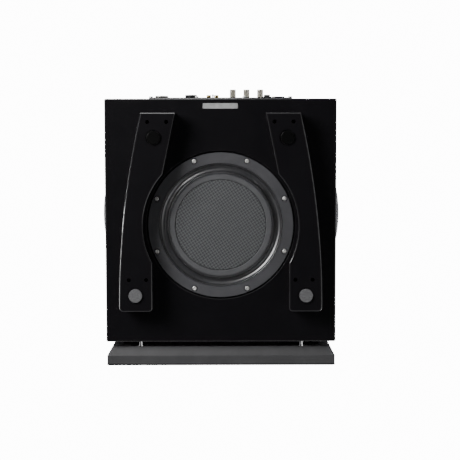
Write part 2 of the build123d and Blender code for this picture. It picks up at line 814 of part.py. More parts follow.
# ---------------------------------------------------------------- driver
magnet_face = driver_depth + plate_thickness
back_face = magnet_face + magnet_thickness
with BuildPart() as driver_basket:
    throat_r = driver_ledge_r + spider_reach
    throat = [
        (throat_r, driver_depth),
        (throat_r - throat_width, driver_depth),
        (throat_r - throat_width, driver_depth - throat_wall),
        (throat_r - throat_wall, driver_depth - throat_wall),
        (throat_r - throat_wall, ledge_depth + frame_ledge),
    ]
    section = frame_section(driver_ledge_r, ledge_depth, throat_r, throat)
    revolve(outline(driver_section, *section), axis=driver_axis)
    with BuildSketch(driver_at(flange + vent_edge)):
        with PolarLocations((frame_wall_r + driver_ledge_r) / 2 + vent_shift, vent_count):
            Circle(driver_vent_r)
    extrude(amount=ledge_depth - flange - 1.5 * vent_edge, mode=Mode.SUBTRACT)
    extrude(bolt_discs(driver_at(0), bolt_sink_r), amount=bolt_sink, mode=Mode.SUBTRACT)
    extrude(bolt_discs(driver_at(0), bolt_r + bolt_clearance), amount=flange, mode=Mode.SUBTRACT)
driver_basket.part.label = "driver_basket"

with BuildPart() as driver_surround:
    revolve(surround_section(driver_section, outward=True), axis=driver_axis)
driver_surround.part.label = "driver_surround"

former_r = coil_r + former_thickness
cone_neck_r = former_r + slip
cone_neck_depth = ledge_depth - neck_rise
cone_slope = (cone_neck_depth - land_depth) / (cone_r - cone_lip - cone_neck_r)
with BuildPart() as driver_cone:
    section = [
        (cone_r - cone_lip, land_depth),
        (cone_r, land_depth),
        (cone_r, land_depth + sheet),
        (cone_r - cone_lip, land_depth + sheet),
        (cone_neck_r + neck_wall, cone_neck_depth + sheet),
        (cone_neck_r + neck_wall, ledge_depth + end_gap),
        (cone_neck_r, ledge_depth + end_gap),
        (cone_neck_r, cone_neck_depth),
    ]
    revolve(outline(driver_section, *section), axis=driver_axis)
driver_cone.part.label = "driver_cone"

with BuildPart() as driver_dust_cap:
    cap_back = land_depth + (cone_r - cone_lip - cap_r) * cone_slope - cap_lift
    cap_rim = cap_back - cap_thickness
    cap_sphere_r = (cap_r**2 + cap_rise**2) / (2 * cap_rise)
    cap_mid = cap_sphere_r - (cap_sphere_r**2 - (cap_r / 2) ** 2) ** 0.5
    with BuildSketch(driver_section):
        with BuildLine():
            apex = cap_rim - cap_rise
            apex_back = apex + cap_thickness
            ThreePointArc((0, apex), (cap_r / 2, apex + cap_mid), (cap_r, cap_rim))
            Line((cap_r, cap_rim), (cap_r, cap_back))
            ThreePointArc((cap_r, cap_back), (cap_r / 2, apex_back + cap_mid), (0, apex_back))
            Line((0, apex_back), (0, apex))
        make_face()
    revolve(axis=driver_axis)
driver_dust_cap.part.label = "driver_dust_cap"

with BuildPart() as driver_spider:
    section = spider_section(cone_neck_r + neck_wall + slip, driver_ledge_r + spider_reach, ledge_depth)
    revolve(outline(driver_section, *section), axis=driver_axis)
driver_spider.part.label = "driver_spider"

coil_middle = driver_depth + plate_thickness / 2
coil_end = coil_middle + winding_length / 2
with BuildPart() as voice_coil_former:
    extrude(ring(driver_at(cone_neck_depth), coil_r, former_r), amount=coil_end - cone_neck_depth)
voice_coil_former.part.label = "voice_coil_former"

with BuildPart() as voice_coil_winding:
    coil_face = driver_at(coil_end - winding_length)
    extrude(ring(coil_face, former_r, former_r + winding_thickness), amount=winding_length)
voice_coil_winding.part.label = "voice_coil_winding"

with BuildPart() as top_plate:
    gap_r = former_r + winding_thickness + coil_gap
    extrude(ring(driver_at(driver_depth), gap_r, steel_r), amount=plate_thickness)
top_plate.part.label = "top_plate"

with BuildPart() as magnet_ring:
    extrude(ring(driver_at(magnet_face), gap_r + magnet_clearance, magnet_r), amount=magnet_thickness)
magnet_ring.part.label = "magnet_ring"

with BuildPart() as back_plate:
    extrude(ring(driver_at(back_face), vent_r, steel_r), amount=plate_thickness)
    extrude(ring(driver_at(driver_depth), vent_r, coil_r - coil_gap), amount=back_face - driver_depth)
    fillet(back_plate.edges().group_by(Axis.Y)[-1].sort_by(Edge.length)[-1], radius=steel_round)
back_plate.part.label = "back_plate"

# ---------------------------------------------------------------- grille
grille_width = cabinet_width - 2 * grille_side
grille_height = cabinet_height - 2 * grille_top
mid_z = (base_z + top_z) / 2
frame_front_y = grille_front_y + cloth
taper_y = grille_front_y + grille_band
with BuildPart() as grille_frame:
    band = plate_sketch(facing_front(taper_y), grille_width, grille_height, grille_corner, 0, mid_z)
    extrude(band, amount=taper_y - frame_front_y)
    with BuildSketch(facing_front(taper_y)):
        with Locations((0, mid_z)):
            RectangleRounded(grille_width, grille_height, grille_corner)
    with BuildSketch(facing_front(grille_rear_y)):
        with Locations((0, mid_z)):
            rear_width = grille_width - 2 * grille_setback
            rear_height = grille_height - 2 * grille_setback
            RectangleRounded(rear_width, rear_height, grille_corner)
    loft()
    with BuildSketch(facing_front(grille_rear_y)):
        with Locations((0, mid_z)):
            window = (grille_width - 2 * grille_border, grille_height - 2 * grille_border)
            RectangleRounded(*window, window_corner)
    extrude(amount=grille_depth, mode=Mode.SUBTRACT)
    pin_holes = at_points(facing_front(grille_rear_y), pins_at, pin_r + slip)
    extrude(pin_holes, amount=pin_in_frame + end_gap, mode=Mode.SUBTRACT)
grille_frame.part.label = "grille_frame"

with BuildPart() as grille_cloth:
    cloth_shape = plate_sketch(
        facing_front(frame_front_y),
        grille_width - 2 * cloth_tuck,
        grille_height - 2 * cloth_tuck,
        grille_corner,
        0,
        mid_z,
    )
    extrude(cloth_shape, amount=cloth)
grille_cloth.part.label = "grille_cloth"

with BuildPart() as grille_pins:
    pin_length = pin_in_frame + grille_gap + pin_in_cup
    root_y = grille_rear_y - pin_in_frame
    extrude(at_points(facing_front(root_y), pins_at, pin_r), amount=-pin_length)
    fillet(grille_pins.edges().group_by(Axis.Y)[-1], radius=pin_round)
    extrude(at_points(facing_front(grille_rear_y), pins_at, pin_collar_r), amount=-pin_collar)
grille_pins.part.label = "grille_pins"

with BuildPart() as grille_cups:
    extrude(at_points(facing_front(front_y), pins_at, cup_flange_r), amount=cup_flange)
    extrude(at_points(facing_front(front_y), pins_at, cup_r), amount=-cup_depth)
    mouth = at_points(facing_front(front_y - cup_flange), pins_at, pin_r + cup_clearance)
    extrude(mouth, amount=-(cup_flange + pin_in_cup + cup_bottom), mode=Mode.SUBTRACT)
grille_cups.part.label = "grille_cups"

# ---------------------------------------------------------------- amplifier plate and case
inner_width = inlet_width - 2 * inlet_shoulder
inner_height = inlet_height - 2 * inlet_shoulder
rocker_z = power_z + rocker_up
cavity_z = power_z + inlet_rise
fuse_z = power_z - fuse_drop
body_width = rocker_width + 2 * (rocker_gap + switch_wall)
body_height = 2 * (rocker_r + rocker_gap + switch_wall)
cut_width = 2 * slip
with BuildPart() as amp_plate:
    extrude(
        plate_sketch(facing_back(plate_inner_y), amp_width, amp_height, amp_corner, 0, amp_mid_z),
        amount=amp_plate_thickness,
    )
    face = facing_back(plate_inner_y)
    cuts = [
        at_points(face, amp_screws_at, amp_screw_r + screw_play),
        at_points(face, knobs_at, bush_r + slip),
        at_points(face, [(toggle_across, knob_z)], toggle_bush_r + slip),
        at_points(face, jacks_at, jack_r + jack_clearance),
        at_points(face, [(speaker_socket_across, signal_z), (xlr_across, power_z)], socket_body_r + 2 * slip),
        at_points(face, [(led_across, knob_z)], led_r + slip),
        plate_sketch(
            face, body_width + cut_width, body_height + cut_width, switch_wall, rocker_across, rocker_z
        ),
        plate_sketch(
            face, inner_width + cut_width, inner_height + cut_width, inlet_shoulder, inlet_across, power_z
        ),
    ]
    for cut in cuts:
        extrude(cut, amount=amp_plate_thickness, mode=Mode.SUBTRACT)
amp_plate.part.label = "amp_plate"

with BuildPart() as amp_gasket:
    gasket_face = facing_back(back_y)
    gasket_sheet = plate_sketch(gasket_face, amp_width, amp_height, amp_corner, 0, amp_mid_z)
    extrude(gasket_sheet, amount=amp_gasket_thickness)
    window_cut = plate_sketch(gasket_face, amp_open_width, amp_open_height, amp_open_corner, 0, amp_mid_z)
    extrude(window_cut, amount=amp_gasket_thickness, mode=Mode.SUBTRACT)
    holes = at_points(gasket_face, amp_screws_at, amp_screw_r + screw_play)
    extrude(holes, amount=amp_gasket_thickness, mode=Mode.SUBTRACT)
amp_gasket.part.label = "amp_gasket"

with BuildPart() as amp_screws:
    extrude(at_points(facing_back(plate_outer_y), amp_screws_at, amp_screw_head_r), amount=amp_screw_head)
    fillet(amp_screws.edges().group_by(Axis.Y)[-1], radius=amp_screw_round)
    extrude(at_points(facing_back(plate_outer_y), amp_screws_at, amp_screw_r), amount=-amp_screw_length)
    drives = at_points(facing_back(plate_outer_y + amp_screw_head), amp_screws_at, amp_screw_drive_r)
    extrude(drives, amount=-amp_screw_drive, mode=Mode.SUBTRACT)
amp_screws.part.label = "amp_screws"

with BuildPart() as amp_housing:
    case_width = amp_open_width - 2 * amp_housing_gap
    case_height = amp_open_height - 2 * amp_housing_gap
    case_depth = plate_inner_y - housing_y
    extrude(
        plate_sketch(facing_back(housing_y), case_width, case_height, amp_open_corner, 0, amp_mid_z),
        amount=case_depth,
    )
    hollow = plate_sketch(
        facing_back(housing_y + amp_housing_wall),
        case_width - 2 * amp_housing_wall,
        case_height - 2 * amp_housing_wall,
        amp_open_corner - amp_housing_wall,
        0,
        amp_mid_z,
    )
    extrude(hollow, amount=case_depth, mode=Mode.SUBTRACT)
amp_housing.part.label = "amp_housing"

with BuildPart() as circuit_board:
    board_z = plate_z + amp_height - amp_lip - amp_housing_gap - board_drop - board_height / 2
    board_face = facing_back(back_y - board_depth - board_thickness)
    board = plate_sketch(board_face, board_width, board_height, amp_open_corner, 0, board_z)
    extrude(board, amount=board_thickness)
circuit_board.part.label = "circuit_board"

with BuildPart() as capacitors:
    first = capacitor_r + capacitor_inset - board_width / 2
    row_z = board_z + board_height / 2 - capacitor_drop
    places = [(first + k * capacitor_pitch, row_z) for k in range(capacitor_count)]
    extrude(at_points(board_face, places, capacitor_r), amount=-capacitor_height)
    fillet(capacitors.edges().group_by(Axis.Y)[0], radius=capacitor_round)
capacitors.part.label = "capacitors"

with BuildPart() as transformer:
    coil_z = plate_z + transformer_row
    with BuildSketch(facing_back(plate_inner_y - transformer_height - transformer_gap)):
        with Locations((transformer_across, coil_z)):
            Circle(transformer_r)
            Circle(transformer_bore_r, mode=Mode.SUBTRACT)
    extrude(amount=transformer_height)
    fillet(transformer.edges().filter_by(GeomType.CIRCLE), radius=transformer_round)
transformer.part.label = "transformer"

# ---------------------------------------------------------------- knobs, shafts and potentiometers
with BuildPart() as potentiometers:
    body_face = facing_back(plate_inner_y - pot_depth - pot_gap)
    with BuildSketch(body_face):
        with Locations(*knobs_at):
            RectangleRounded(pot_size, pot_size, 1.0)
    extrude(amount=pot_depth)
    bush_height = pot_gap + pot_depth + amp_plate_thickness + bush_proud
    extrude(at_points(body_face, knobs_at, bush_r), amount=bush_height)
    bore_foot = facing_back(plate_inner_y - pot_depth + shaft_foot)
    bores = at_points(bore_foot, knobs_at, shaft_r + shaft_clearance)
    extrude(bores, amount=bush_height, mode=Mode.SUBTRACT)
potentiometers.part.label = "potentiometers"

knob_face_y = plate_outer_y + knob_gap
tip_y = back_y + knob_tip
shaft_foot_y = plate_inner_y - pot_depth + shaft_foot + end_gap
knob_names = ("lfe_level", "high_level", "crossover")
knob_parts = []
for name, across in zip(knob_names, knob_row):
    with BuildPart() as knob:
        extrude(at_points(facing_back(knob_face_y), [(across, knob_z)], knob_r), amount=tip_y - knob_face_y)
        chamfer(knob.edges().group_by(Axis.Y)[-1], length=knob_edge)
        with BuildSketch(facing_back(knob_face_y)):
            with Locations((across, knob_z)):
                with PolarLocations(knob_r + slip, knob_flutes, start_angle=90 + 180 / knob_flutes):
                    Circle(knob_flute_r)
        extrude(amount=(tip_y - knob_face_y) * knob_flute_share, mode=Mode.SUBTRACT)
        bore = at_points(facing_back(knob_face_y), [(across, knob_z)], shaft_r + slip)
        extrude(bore, amount=shaft_in_knob + end_gap, mode=Mode.SUBTRACT)
        with BuildSketch(facing_back(tip_y)):
            with Locations((across, knob_z + knob_r / 2)):
                Rectangle(knob_mark, knob_r + knob_mark)
        extrude(amount=-knob_mark_depth, mode=Mode.SUBTRACT)
    knob.part.label = name + "_knob"
    with BuildPart() as shaft:
        shaft_disc = at_points(facing_back(shaft_foot_y), [(across, knob_z)], shaft_r)
        extrude(shaft_disc, amount=knob_face_y + shaft_in_knob - shaft_foot_y)
        chamfer(shaft.edges().group_by(Axis.Y)[-1], length=knob_edge / 2)
    shaft.part.label = name + "_shaft"
    knob_parts += [knob.part, shaft.part]

# ---------------------------------------------------------------- phase switch
toggle_pivot = (-toggle_across, plate_outer_y + toggle_pivot_out, knob_z)
toggle_width, toggle_height, toggle_depth = toggle_body
with BuildPart() as phase_switch_body:
    switch_foot = facing_back(plate_inner_y - toggle_depth - pot_gap)
    with BuildSketch(switch_foot):
        with Locations((toggle_across, knob_z)):
            Rectangle(toggle_width, toggle_height)
    extrude(amount=toggle_depth)
    bush = at_points(switch_foot, [(toggle_across, knob_z)], toggle_bush_r)
    extrude(bush, amount=toggle_depth + pot_gap + amp_plate_thickness + toggle_bush)
    bore = at_points(facing_back(plate_outer_y + toggle_bush), [(toggle_across, knob_z)], toggle_bore_r)
    extrude(bore, amount=-(toggle_bush + amp_plate_thickness), mode=Mode.SUBTRACT)
    with BuildSketch(facing_back(plate_outer_y)):
        with Locations((toggle_across, knob_z)):
            RegularPolygon(toggle_nut_r, 6)
            Circle(toggle_bush_r - slip, mode=Mode.SUBTRACT)
    extrude(amount=toggle_nut)
phase_switch_body.part.label = "phase_switch_body"

# The lever is a ball in the bush with a tapered stem. It rests tilted up and swings down.
lever_length = (back_y + toggle_tip - toggle_pivot[1]) / cos(radians(toggle_tilt)) - toggle_play
lever_dir = (0, cos(radians(toggle_tilt)), sin(radians(toggle_tilt)))
with BuildPart() as phase_switch_lever:
    lever_normal = Vector(1, 0, 0).cross(Vector(lever_dir))
    lever_section = Plane(origin=toggle_pivot, x_dir=(1, 0, 0), z_dir=lever_normal)
    with BuildSketch(lever_section):
        with BuildLine():
            Polyline(
                (0, -toggle_foot),
                (toggle_r, -toggle_foot),
                (toggle_r * 0.85, lever_length * 0.35),
                (toggle_r * 1.6, lever_length - toggle_r),
                (toggle_r, lever_length),
                (0, lever_length),
                close=True,
            )
        make_face()
    revolve(axis=Axis(toggle_pivot, lever_dir))
phase_switch_lever.part.label = "phase_switch_lever"

# ---------------------------------------------------------------- power switch
# The rocker turns about a pin across it. Its ends are arcs about that pin, so it stays clear of the bezel.
rocker_pivot = (-rocker_across, plate_outer_y + rocker_pivot_out, rocker_z)
rocker_well = rocker_r + rocker_gap
with BuildPart() as power_switch_body:
    extrude(
        plate_sketch(
            facing_back(plate_outer_y),
            body_width + 2 * rocker_bezel_lip,
            body_height + 2 * rocker_bezel_lip,
            rocker_bezel_lip,
            rocker_across,
            rocker_z,
        ),
        amount=rocker_bezel,
    )
    switch_back = plate_outer_y - switch_depth
    extrude(
        plate_sketch(facing_back(switch_back), body_width, body_height, switch_wall, rocker_across, rocker_z),
        amount=switch_depth,
    )
    well = plate_sketch(
        facing_back(rocker_pivot[1] - well_depth),
        rocker_width + 2 * rocker_gap,
        2 * rocker_well,
        rocker_gap,
        rocker_across,
        rocker_z,
    )
    extrude(well, amount=well_depth + rocker_bezel, mode=Mode.SUBTRACT)
power_switch_body.part.label = "power_switch_body"

with BuildPart() as power_rocker:
    side_view = Plane(
        origin=(rocker_pivot[0] - rocker_width / 2, rocker_pivot[1], rocker_pivot[2]),
        x_dir=(0, cos(radians(rocker_tilt)), sin(radians(rocker_tilt))),
        z_dir=(1, 0, 0),
    )
    with BuildSketch(side_view):
        Circle(rocker_r)
        with BuildLine():
            Polyline(
                (2 * rocker_r, -rocker_r),
                (rocker_horn, -rocker_r),
                (rocker_waist, 0),
                (rocker_horn, rocker_r),
                (2 * rocker_r, rocker_r),
                close=True,
            )
        make_face(mode=Mode.SUBTRACT)
        with Locations((-rocker_back, 0)):
            Rectangle(2 * rocker_r, 2 * rocker_r, align=(Align.MAX, Align.CENTER), mode=Mode.SUBTRACT)
    extrude(amount=rocker_width)
power_rocker.part.label = "power_rocker"

# ---------------------------------------------------------------- mains inlet with its fuse drawer
with BuildPart() as mains_inlet:
    inlet_face = facing_back(plate_outer_y)
    extrude(
        plate_sketch(inlet_face, inlet_width, inlet_height, 2 * inlet_shoulder, inlet_across, power_z),
        amount=inlet_lip,
    )
    inlet_back_y = plate_outer_y + inlet_lip - inlet_body_depth
    inlet_back = facing_back(inlet_back_y)
    extrude(
        plate_sketch(inlet_back, inner_width, inner_height, inlet_shoulder, inlet_across, power_z),
        amount=inlet_body_depth,
    )
    cavity_y = plate_outer_y + inlet_lip - inlet_cavity_depth
    with BuildSketch(facing_back(cavity_y)):
        with Locations((inlet_across, cavity_z)):
            Rectangle(inlet_cavity_width, inlet_cavity_height)
        corners = [
            (inlet_across + inlet_cavity_width / 2, cavity_z + side * inlet_cavity_height / 2)
            for side in (-1, 1)
        ]
        with Locations(*corners):
            Rectangle(inlet_corner_cut, inlet_corner_cut, rotation=45, mode=Mode.SUBTRACT)
    extrude(amount=inlet_cavity_depth, mode=Mode.SUBTRACT)
    fuse_well = plate_sketch(
        facing_back(plate_outer_y + inlet_lip - fuse_depth - fuse_clearance),
        fuse_width + 2 * fuse_clearance,
        fuse_height + 2 * fuse_clearance,
        fuse_clearance,
        inlet_across,
        fuse_z,
    )
    extrude(fuse_well, amount=fuse_depth + 2 * fuse_clearance, mode=Mode.SUBTRACT)
mains_inlet.part.label = "mains_inlet"

with BuildPart() as inlet_pins:
    blade_width, blade_thickness, blade_length = blade
    with BuildSketch(facing_back(cavity_y)):
        with Locations(
            (inlet_across - blade_offset, cavity_z - blade_spread),
            (inlet_across - blade_offset, cavity_z + blade_spread),
            (inlet_across + blade_offset, cavity_z),
        ):
            Rectangle(blade_width, blade_thickness)
    extrude(amount=blade_length)
inlet_pins.part.label = "inlet_pins"

with BuildPart() as fuse_drawer:
    drawer_y = plate_outer_y + inlet_lip - fuse_depth
    with BuildSketch(facing_back(drawer_y)):
        with Locations((inlet_across, fuse_z)):
            Rectangle(fuse_width, fuse_height)
    extrude(amount=fuse_depth + fuse_clearance)
    with BuildSketch(facing_back(drawer_y + fuse_wall)):
        with Locations((inlet_across, fuse_z + fuse_wall)):
            Rectangle(fuse_width - 2 * fuse_wall, fuse_height)
    extrude(amount=fuse_depth - 3 * fuse_wall, mode=Mode.SUBTRACT)
    nail_width, nail_height, nail_depth = fuse_nail
    with BuildSketch(facing_back(drawer_y + fuse_depth + fuse_clearance)):
        with Locations((inlet_across, fuse_z - fuse_height / 2)):
            Rectangle(nail_width, nail_height)
    extrude(amount=-nail_depth, mode=Mode.SUBTRACT)
fuse_drawer.part.label = "fuse_drawer"

# ---------------------------------------------------------------- signal sockets and light
with BuildPart() as xlr_socket:
    xlr_at = [(xlr_across, power_z)]
    extrude(
        plate_sketch(
            facing_back(plate_outer_y),
            socket_flange_width,
            socket_flange_height,
            socket_corner,
            xlr_across,
            power_z,
        ),
        amount=socket_flange,
    )
    extrude(at_points(facing_back(plate_outer_y), xlr_at, xlr_ring_r), amount=xlr_height)
    socket_back = facing_back(plate_outer_y - socket_body_depth)
    extrude(at_points(socket_back, xlr_at, socket_body_r), amount=socket_body_depth)
    xlr_face = facing_back(plate_outer_y + xlr_height)
    groove_inner, groove_outer, groove_depth = xlr_groove
    groove = ring(xlr_face, groove_inner, groove_outer).moved(Location((-xlr_across, 0, power_z)))
    extrude(groove, amount=-groove_depth, mode=Mode.SUBTRACT)
    contacts = [
        (xlr_across + xlr_contacts_r * cos(radians(a)), power_z + xlr_contacts_r * sin(radians(a)))
        for a in (30, 150, 270)
    ]
    extrude(at_points(xlr_face, contacts, xlr_contact_r), amount=-groove_depth, mode=Mode.SUBTRACT)
    with BuildSketch(facing_back(plate_outer_y + socket_flange)):
        with Locations((xlr_across, power_z + xlr_ring_r)):
            Rectangle(*xlr_latch)
    extrude(amount=xlr_height - socket_flange)
xlr_socket.part.label = "xlr_socket"

with BuildPart() as speaker_socket:
    socket_at = [(speaker_socket_across, signal_z)]
    extrude(
        plate_sketch(
            facing_back(plate_outer_y),
            socket_flange_width,
            socket_flange_height,
            socket_corner,
            speaker_socket_across,
            signal_z,
        ),
        amount=socket_flange,
    )
    extrude(at_points(facing_back(plate_outer_y), socket_at, speaker_socket_r), amount=speaker_socket_height)
    extrude(at_points(socket_back, socket_at, socket_body_r), amount=socket_body_depth)
    socket_face = facing_back(plate_outer_y + speaker_socket_height)
    groove_inner, groove_outer, groove_depth = speaker_groove
    socket_place = Location((-speaker_socket_across, 0, signal_z))
    channel = ring(socket_face, groove_inner, groove_outer).moved(socket_place)
    extrude(channel, amount=-groove_depth, mode=Mode.SUBTRACT)
speaker_socket.part.label = "speaker_socket"

with BuildPart() as rca_jacks:
    carrier_size = 2 * jack_pitch + jack_carrier_margin
    carrier_face = facing_back(plate_outer_y)
    extrude(
        plate_sketch(carrier_face, carrier_size, carrier_size, jack_carrier, jack_across, signal_z),
        amount=jack_carrier,
    )
    jack_foot = facing_back(plate_inner_y - jack_body)
    extrude(at_points(jack_foot, jacks_at, jack_r), amount=jack_body + amp_plate_thickness + jack_height)
    centres = at_points(facing_back(plate_outer_y + jack_height), jacks_at, jack_bore_r)
    extrude(centres, amount=-jack_bore, mode=Mode.SUBTRACT)
rca_jacks.part.label = "rca_jacks"

with BuildPart() as status_led:
    led_foot = facing_back(plate_inner_y - led_body)
    extrude(
        at_points(led_foot, [(led_across, knob_z)], led_r), amount=led_body + amp_plate_thickness + led_proud
    )
    fillet(status_led.edges().group_by(Axis.Y)[-1], radius=led_round)
status_led.part.label = "status_led"

# ---------------------------------------------------------------- every node, one STEP each
pieces = [
    cabinet.part,
    cabinet_brace.part,
    damping_lining.part,
    rating_label.part,
    foot_rail_right.part,
    foot_rail_left.part,
    rail_screws.part,
    front_foot_pads.part,
    rear_foot_pads.part,
    handle_right.part,
    handle_left.part,
    handle_screws.part,
    radiator_frame.part,
    radiator_surround.part,
    radiator_cone.part,
    radiator_disc.part,
    radiator_spider.part,
    radiator_weight.part,
    frame_gaskets.part,
    frame_screws.part,
    driver_basket.part,
    driver_surround.part,
    driver_cone.part,
    driver_dust_cap.part,
    driver_spider.part,
    voice_coil_former.part,
    voice_coil_winding.part,
    top_plate.part,
    magnet_ring.part,
    back_plate.part,
    grille_frame.part,
    grille_cloth.part,
    grille_pins.part,
    grille_cups.part,
    amp_plate.part,
    amp_gasket.part,
    amp_screws.part,
    amp_housing.part,
    circuit_board.part,
    capacitors.part,
    transformer.part,
    potentiometers.part,
    *knob_parts,
    phase_switch_body.part,
    phase_switch_lever.part,
    power_switch_body.part,
    power_rocker.part,
    mains_inlet.part,
    inlet_pins.part,
    fuse_drawer.part,
    xlr_socket.part,
    speaker_socket.part,
    rca_jacks.part,
    status_led.part,
]

os.makedirs("parts", exist_ok=True)
for piece in pieces:
    export_step(piece, "parts/" + piece.label + ".step")
print(len(pieces), "nodes written")
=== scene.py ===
# %% [markdown]
# # A powered subwoofer, seen from underneath
# The object is a gloss-black cabinet on two shaped foot rails. A driver fires forwards behind a cloth grille,
# a passive radiator fires down between the rails, and an amplifier panel closes the back. The hard parts come
# from the CAD frame and only get their finishes here. The soft and woven parts are made in this file: the
# surrounds, the spiders, the woven disc, the grille cloth and the wadding.

# %% Load the frame
import bpy, json
import numpy as np
from math import cos, pi, radians, sin
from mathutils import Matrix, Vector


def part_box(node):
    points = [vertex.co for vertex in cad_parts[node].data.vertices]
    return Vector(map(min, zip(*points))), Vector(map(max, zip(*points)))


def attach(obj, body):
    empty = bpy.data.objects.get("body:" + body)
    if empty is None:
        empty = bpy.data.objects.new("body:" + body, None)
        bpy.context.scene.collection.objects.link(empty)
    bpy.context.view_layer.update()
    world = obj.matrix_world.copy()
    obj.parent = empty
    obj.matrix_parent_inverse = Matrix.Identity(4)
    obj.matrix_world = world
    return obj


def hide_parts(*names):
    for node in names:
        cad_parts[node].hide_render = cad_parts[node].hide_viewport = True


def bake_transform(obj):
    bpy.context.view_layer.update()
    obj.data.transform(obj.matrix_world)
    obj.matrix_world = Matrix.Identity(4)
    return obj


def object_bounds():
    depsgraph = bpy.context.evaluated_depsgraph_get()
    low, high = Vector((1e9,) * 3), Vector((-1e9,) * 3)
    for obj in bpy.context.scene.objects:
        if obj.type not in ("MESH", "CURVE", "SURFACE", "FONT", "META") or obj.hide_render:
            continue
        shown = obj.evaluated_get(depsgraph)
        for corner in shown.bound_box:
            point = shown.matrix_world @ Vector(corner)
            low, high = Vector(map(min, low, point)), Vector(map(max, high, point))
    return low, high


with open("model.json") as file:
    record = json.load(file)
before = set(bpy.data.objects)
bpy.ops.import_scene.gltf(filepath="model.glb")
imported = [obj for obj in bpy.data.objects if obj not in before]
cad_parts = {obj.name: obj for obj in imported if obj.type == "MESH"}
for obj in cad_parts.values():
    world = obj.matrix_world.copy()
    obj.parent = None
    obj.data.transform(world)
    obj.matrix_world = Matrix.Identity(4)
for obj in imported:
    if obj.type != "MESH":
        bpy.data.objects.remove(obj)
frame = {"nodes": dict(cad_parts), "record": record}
nodes = frame["nodes"]
cad_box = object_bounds()
slot_of = {part["node"]: part["material_slot"] for part in frame["record"]["subparts"]}

# %% [markdown]
# ## Camera
# The object is seen from almost straight below its radiator, from just under two metres away, with the grille
# at the bottom of the picture. A long lens keeps the cabinet's sides nearly parallel. A camera looks down its
# own -Z, so half a turn about Y makes it look up, and a small tilt about X leans it towards the grille.

# %% Camera
camera = bpy.data.objects.new("camera", bpy.data.cameras.new("camera"))
bpy.context.collection.objects.link(camera)
camera.location = (-0.0095, 0.1455, -1.910)
camera.rotation_euler = (radians(-4.481), radians(179.797), radians(0.103))
camera.data.sensor_width = 36.0
camera.data.lens = 87.7
bpy.context.scene.camera = camera
print("camera", tuple(round(v, 4) for v in camera.location), "lens", camera.data.lens)

# %% [markdown]
# ## Floor, backdrop and lamps
# A plain pale floor lies under the pads. The main view looks up through it, so the floor has one side only:
# from above it is a pale matt surface that fades to the white backdrop far away, and from below it is
# clear. The lamps that show the underside stand below it and shine through a hole in it, a little larger
# than the cabinet, which no camera sees. The gloss sides mirror the floor around the hole, and the
# underside mirrors the dark below through it. The backdrop is white where the camera sees it. What the
# gloss lacquer mirrors is a separate, darker sky: nearly black straight below, brightest at the horizon and
# dimmer again above. The lamps are large and soft. The main one stands low on the side of the right-hand
# rail and a little behind, so that the rails shade the frame beside them and the dips of the surround catch
# long highlights.

# %% Floor
white_sky, sky_blue = 17.0, 1.03
floor_half = 12.0
floor_gap = 0.0005
fade_start, fade_end = 0.9, 3.0  # metres from the middle, where the floor turns into the backdrop
hole_half_x, hole_half_y, hole_edge = 0.252, 0.292, 1.04
floor_z = cad_box[0].z - floor_gap
floor_mesh = bpy.data.meshes.new("floor")
corners = [(-1, -1), (1, -1), (1, 1), (-1, 1)]
floor_mesh.from_pydata([(x * floor_half, y * floor_half, floor_z) for x, y in corners], [], [(0, 1, 2, 3)])
floor = bpy.data.objects.new("floor", floor_mesh)
bpy.context.collection.objects.link(floor)
pale_floor = bpy.data.materials.new("pale floor")
pale_floor.use_nodes = True
tree = pale_floor.node_tree
matt = tree.nodes["Principled BSDF"]
matt.inputs["Base Color"].default_value = (0.80, 0.80, 0.80, 1)
matt.inputs["Roughness"].default_value = 0.9
clear = tree.nodes.new("ShaderNodeBsdfTransparent")
glow = tree.nodes.new("ShaderNodeEmission")
glow.inputs["Strength"].default_value = white_sky
place = tree.nodes.new("ShaderNodeTexCoord")
distance = tree.nodes.new("ShaderNodeVectorMath")
distance.operation = "LENGTH"
tree.links.new(place.outputs["Object"], distance.inputs[0])
ray = tree.nodes.new("ShaderNodeLightPath")
side = tree.nodes.new("ShaderNodeNewGeometry")


def ramp_over(start, end):
    """From 0 at `start` metres from the floor's middle to 1 at `end`, eased at both ends."""
    span = tree.nodes.new("ShaderNodeMapRange")
    span.interpolation_type = "SMOOTHSTEP"
    span.inputs["From Min"].default_value = start
    span.inputs["From Max"].default_value = end
    tree.links.new(distance.outputs["Value"], span.inputs["Value"])
    return span.outputs["Result"]


def mix_by(factor, first, second):
    """A mix of two shaders: all of the first at 0 and all of the second at 1."""
    mix = tree.nodes.new("ShaderNodeMixShader")
    tree.links.new(factor, mix.inputs["Fac"])
    tree.links.new(first.outputs[0], mix.inputs[1])
    tree.links.new(second.outputs[0], mix.inputs[2])
    return mix


def outside_hole(half_x, half_y, soft):
    """0 in a rectangle round the floor's middle and 1 from `soft` times as far out: the larger of
    |x| / half_x and |y| / half_y, run from 1 to soft."""
    split = tree.nodes.new("ShaderNodeSeparateXYZ")
    scaled = tree.nodes.new("ShaderNodeVectorMath")
    scaled.operation = "MULTIPLY"
    scaled.inputs[1].default_value = (1 / half_x, 1 / half_y, 0)
    positive = tree.nodes.new("ShaderNodeVectorMath")
    positive.operation = "ABSOLUTE"
    larger = tree.nodes.new("ShaderNodeMath")
    larger.operation = "MAXIMUM"
    span = tree.nodes.new("ShaderNodeMapRange")
    span.inputs["From Min"].default_value = 1.0
    span.inputs["From Max"].default_value = soft
    tree.links.new(place.outputs["Object"], scaled.inputs[0])
    tree.links.new(scaled.outputs[0], positive.inputs[0])
    tree.links.new(positive.outputs[0], split.inputs[0])
    tree.links.new(split.outputs["X"], larger.inputs[0])
    tree.links.new(split.outputs["Y"], larger.inputs[1])
    tree.links.new(larger.outputs[0], span.inputs["Value"])
    return span.outputs["Result"]


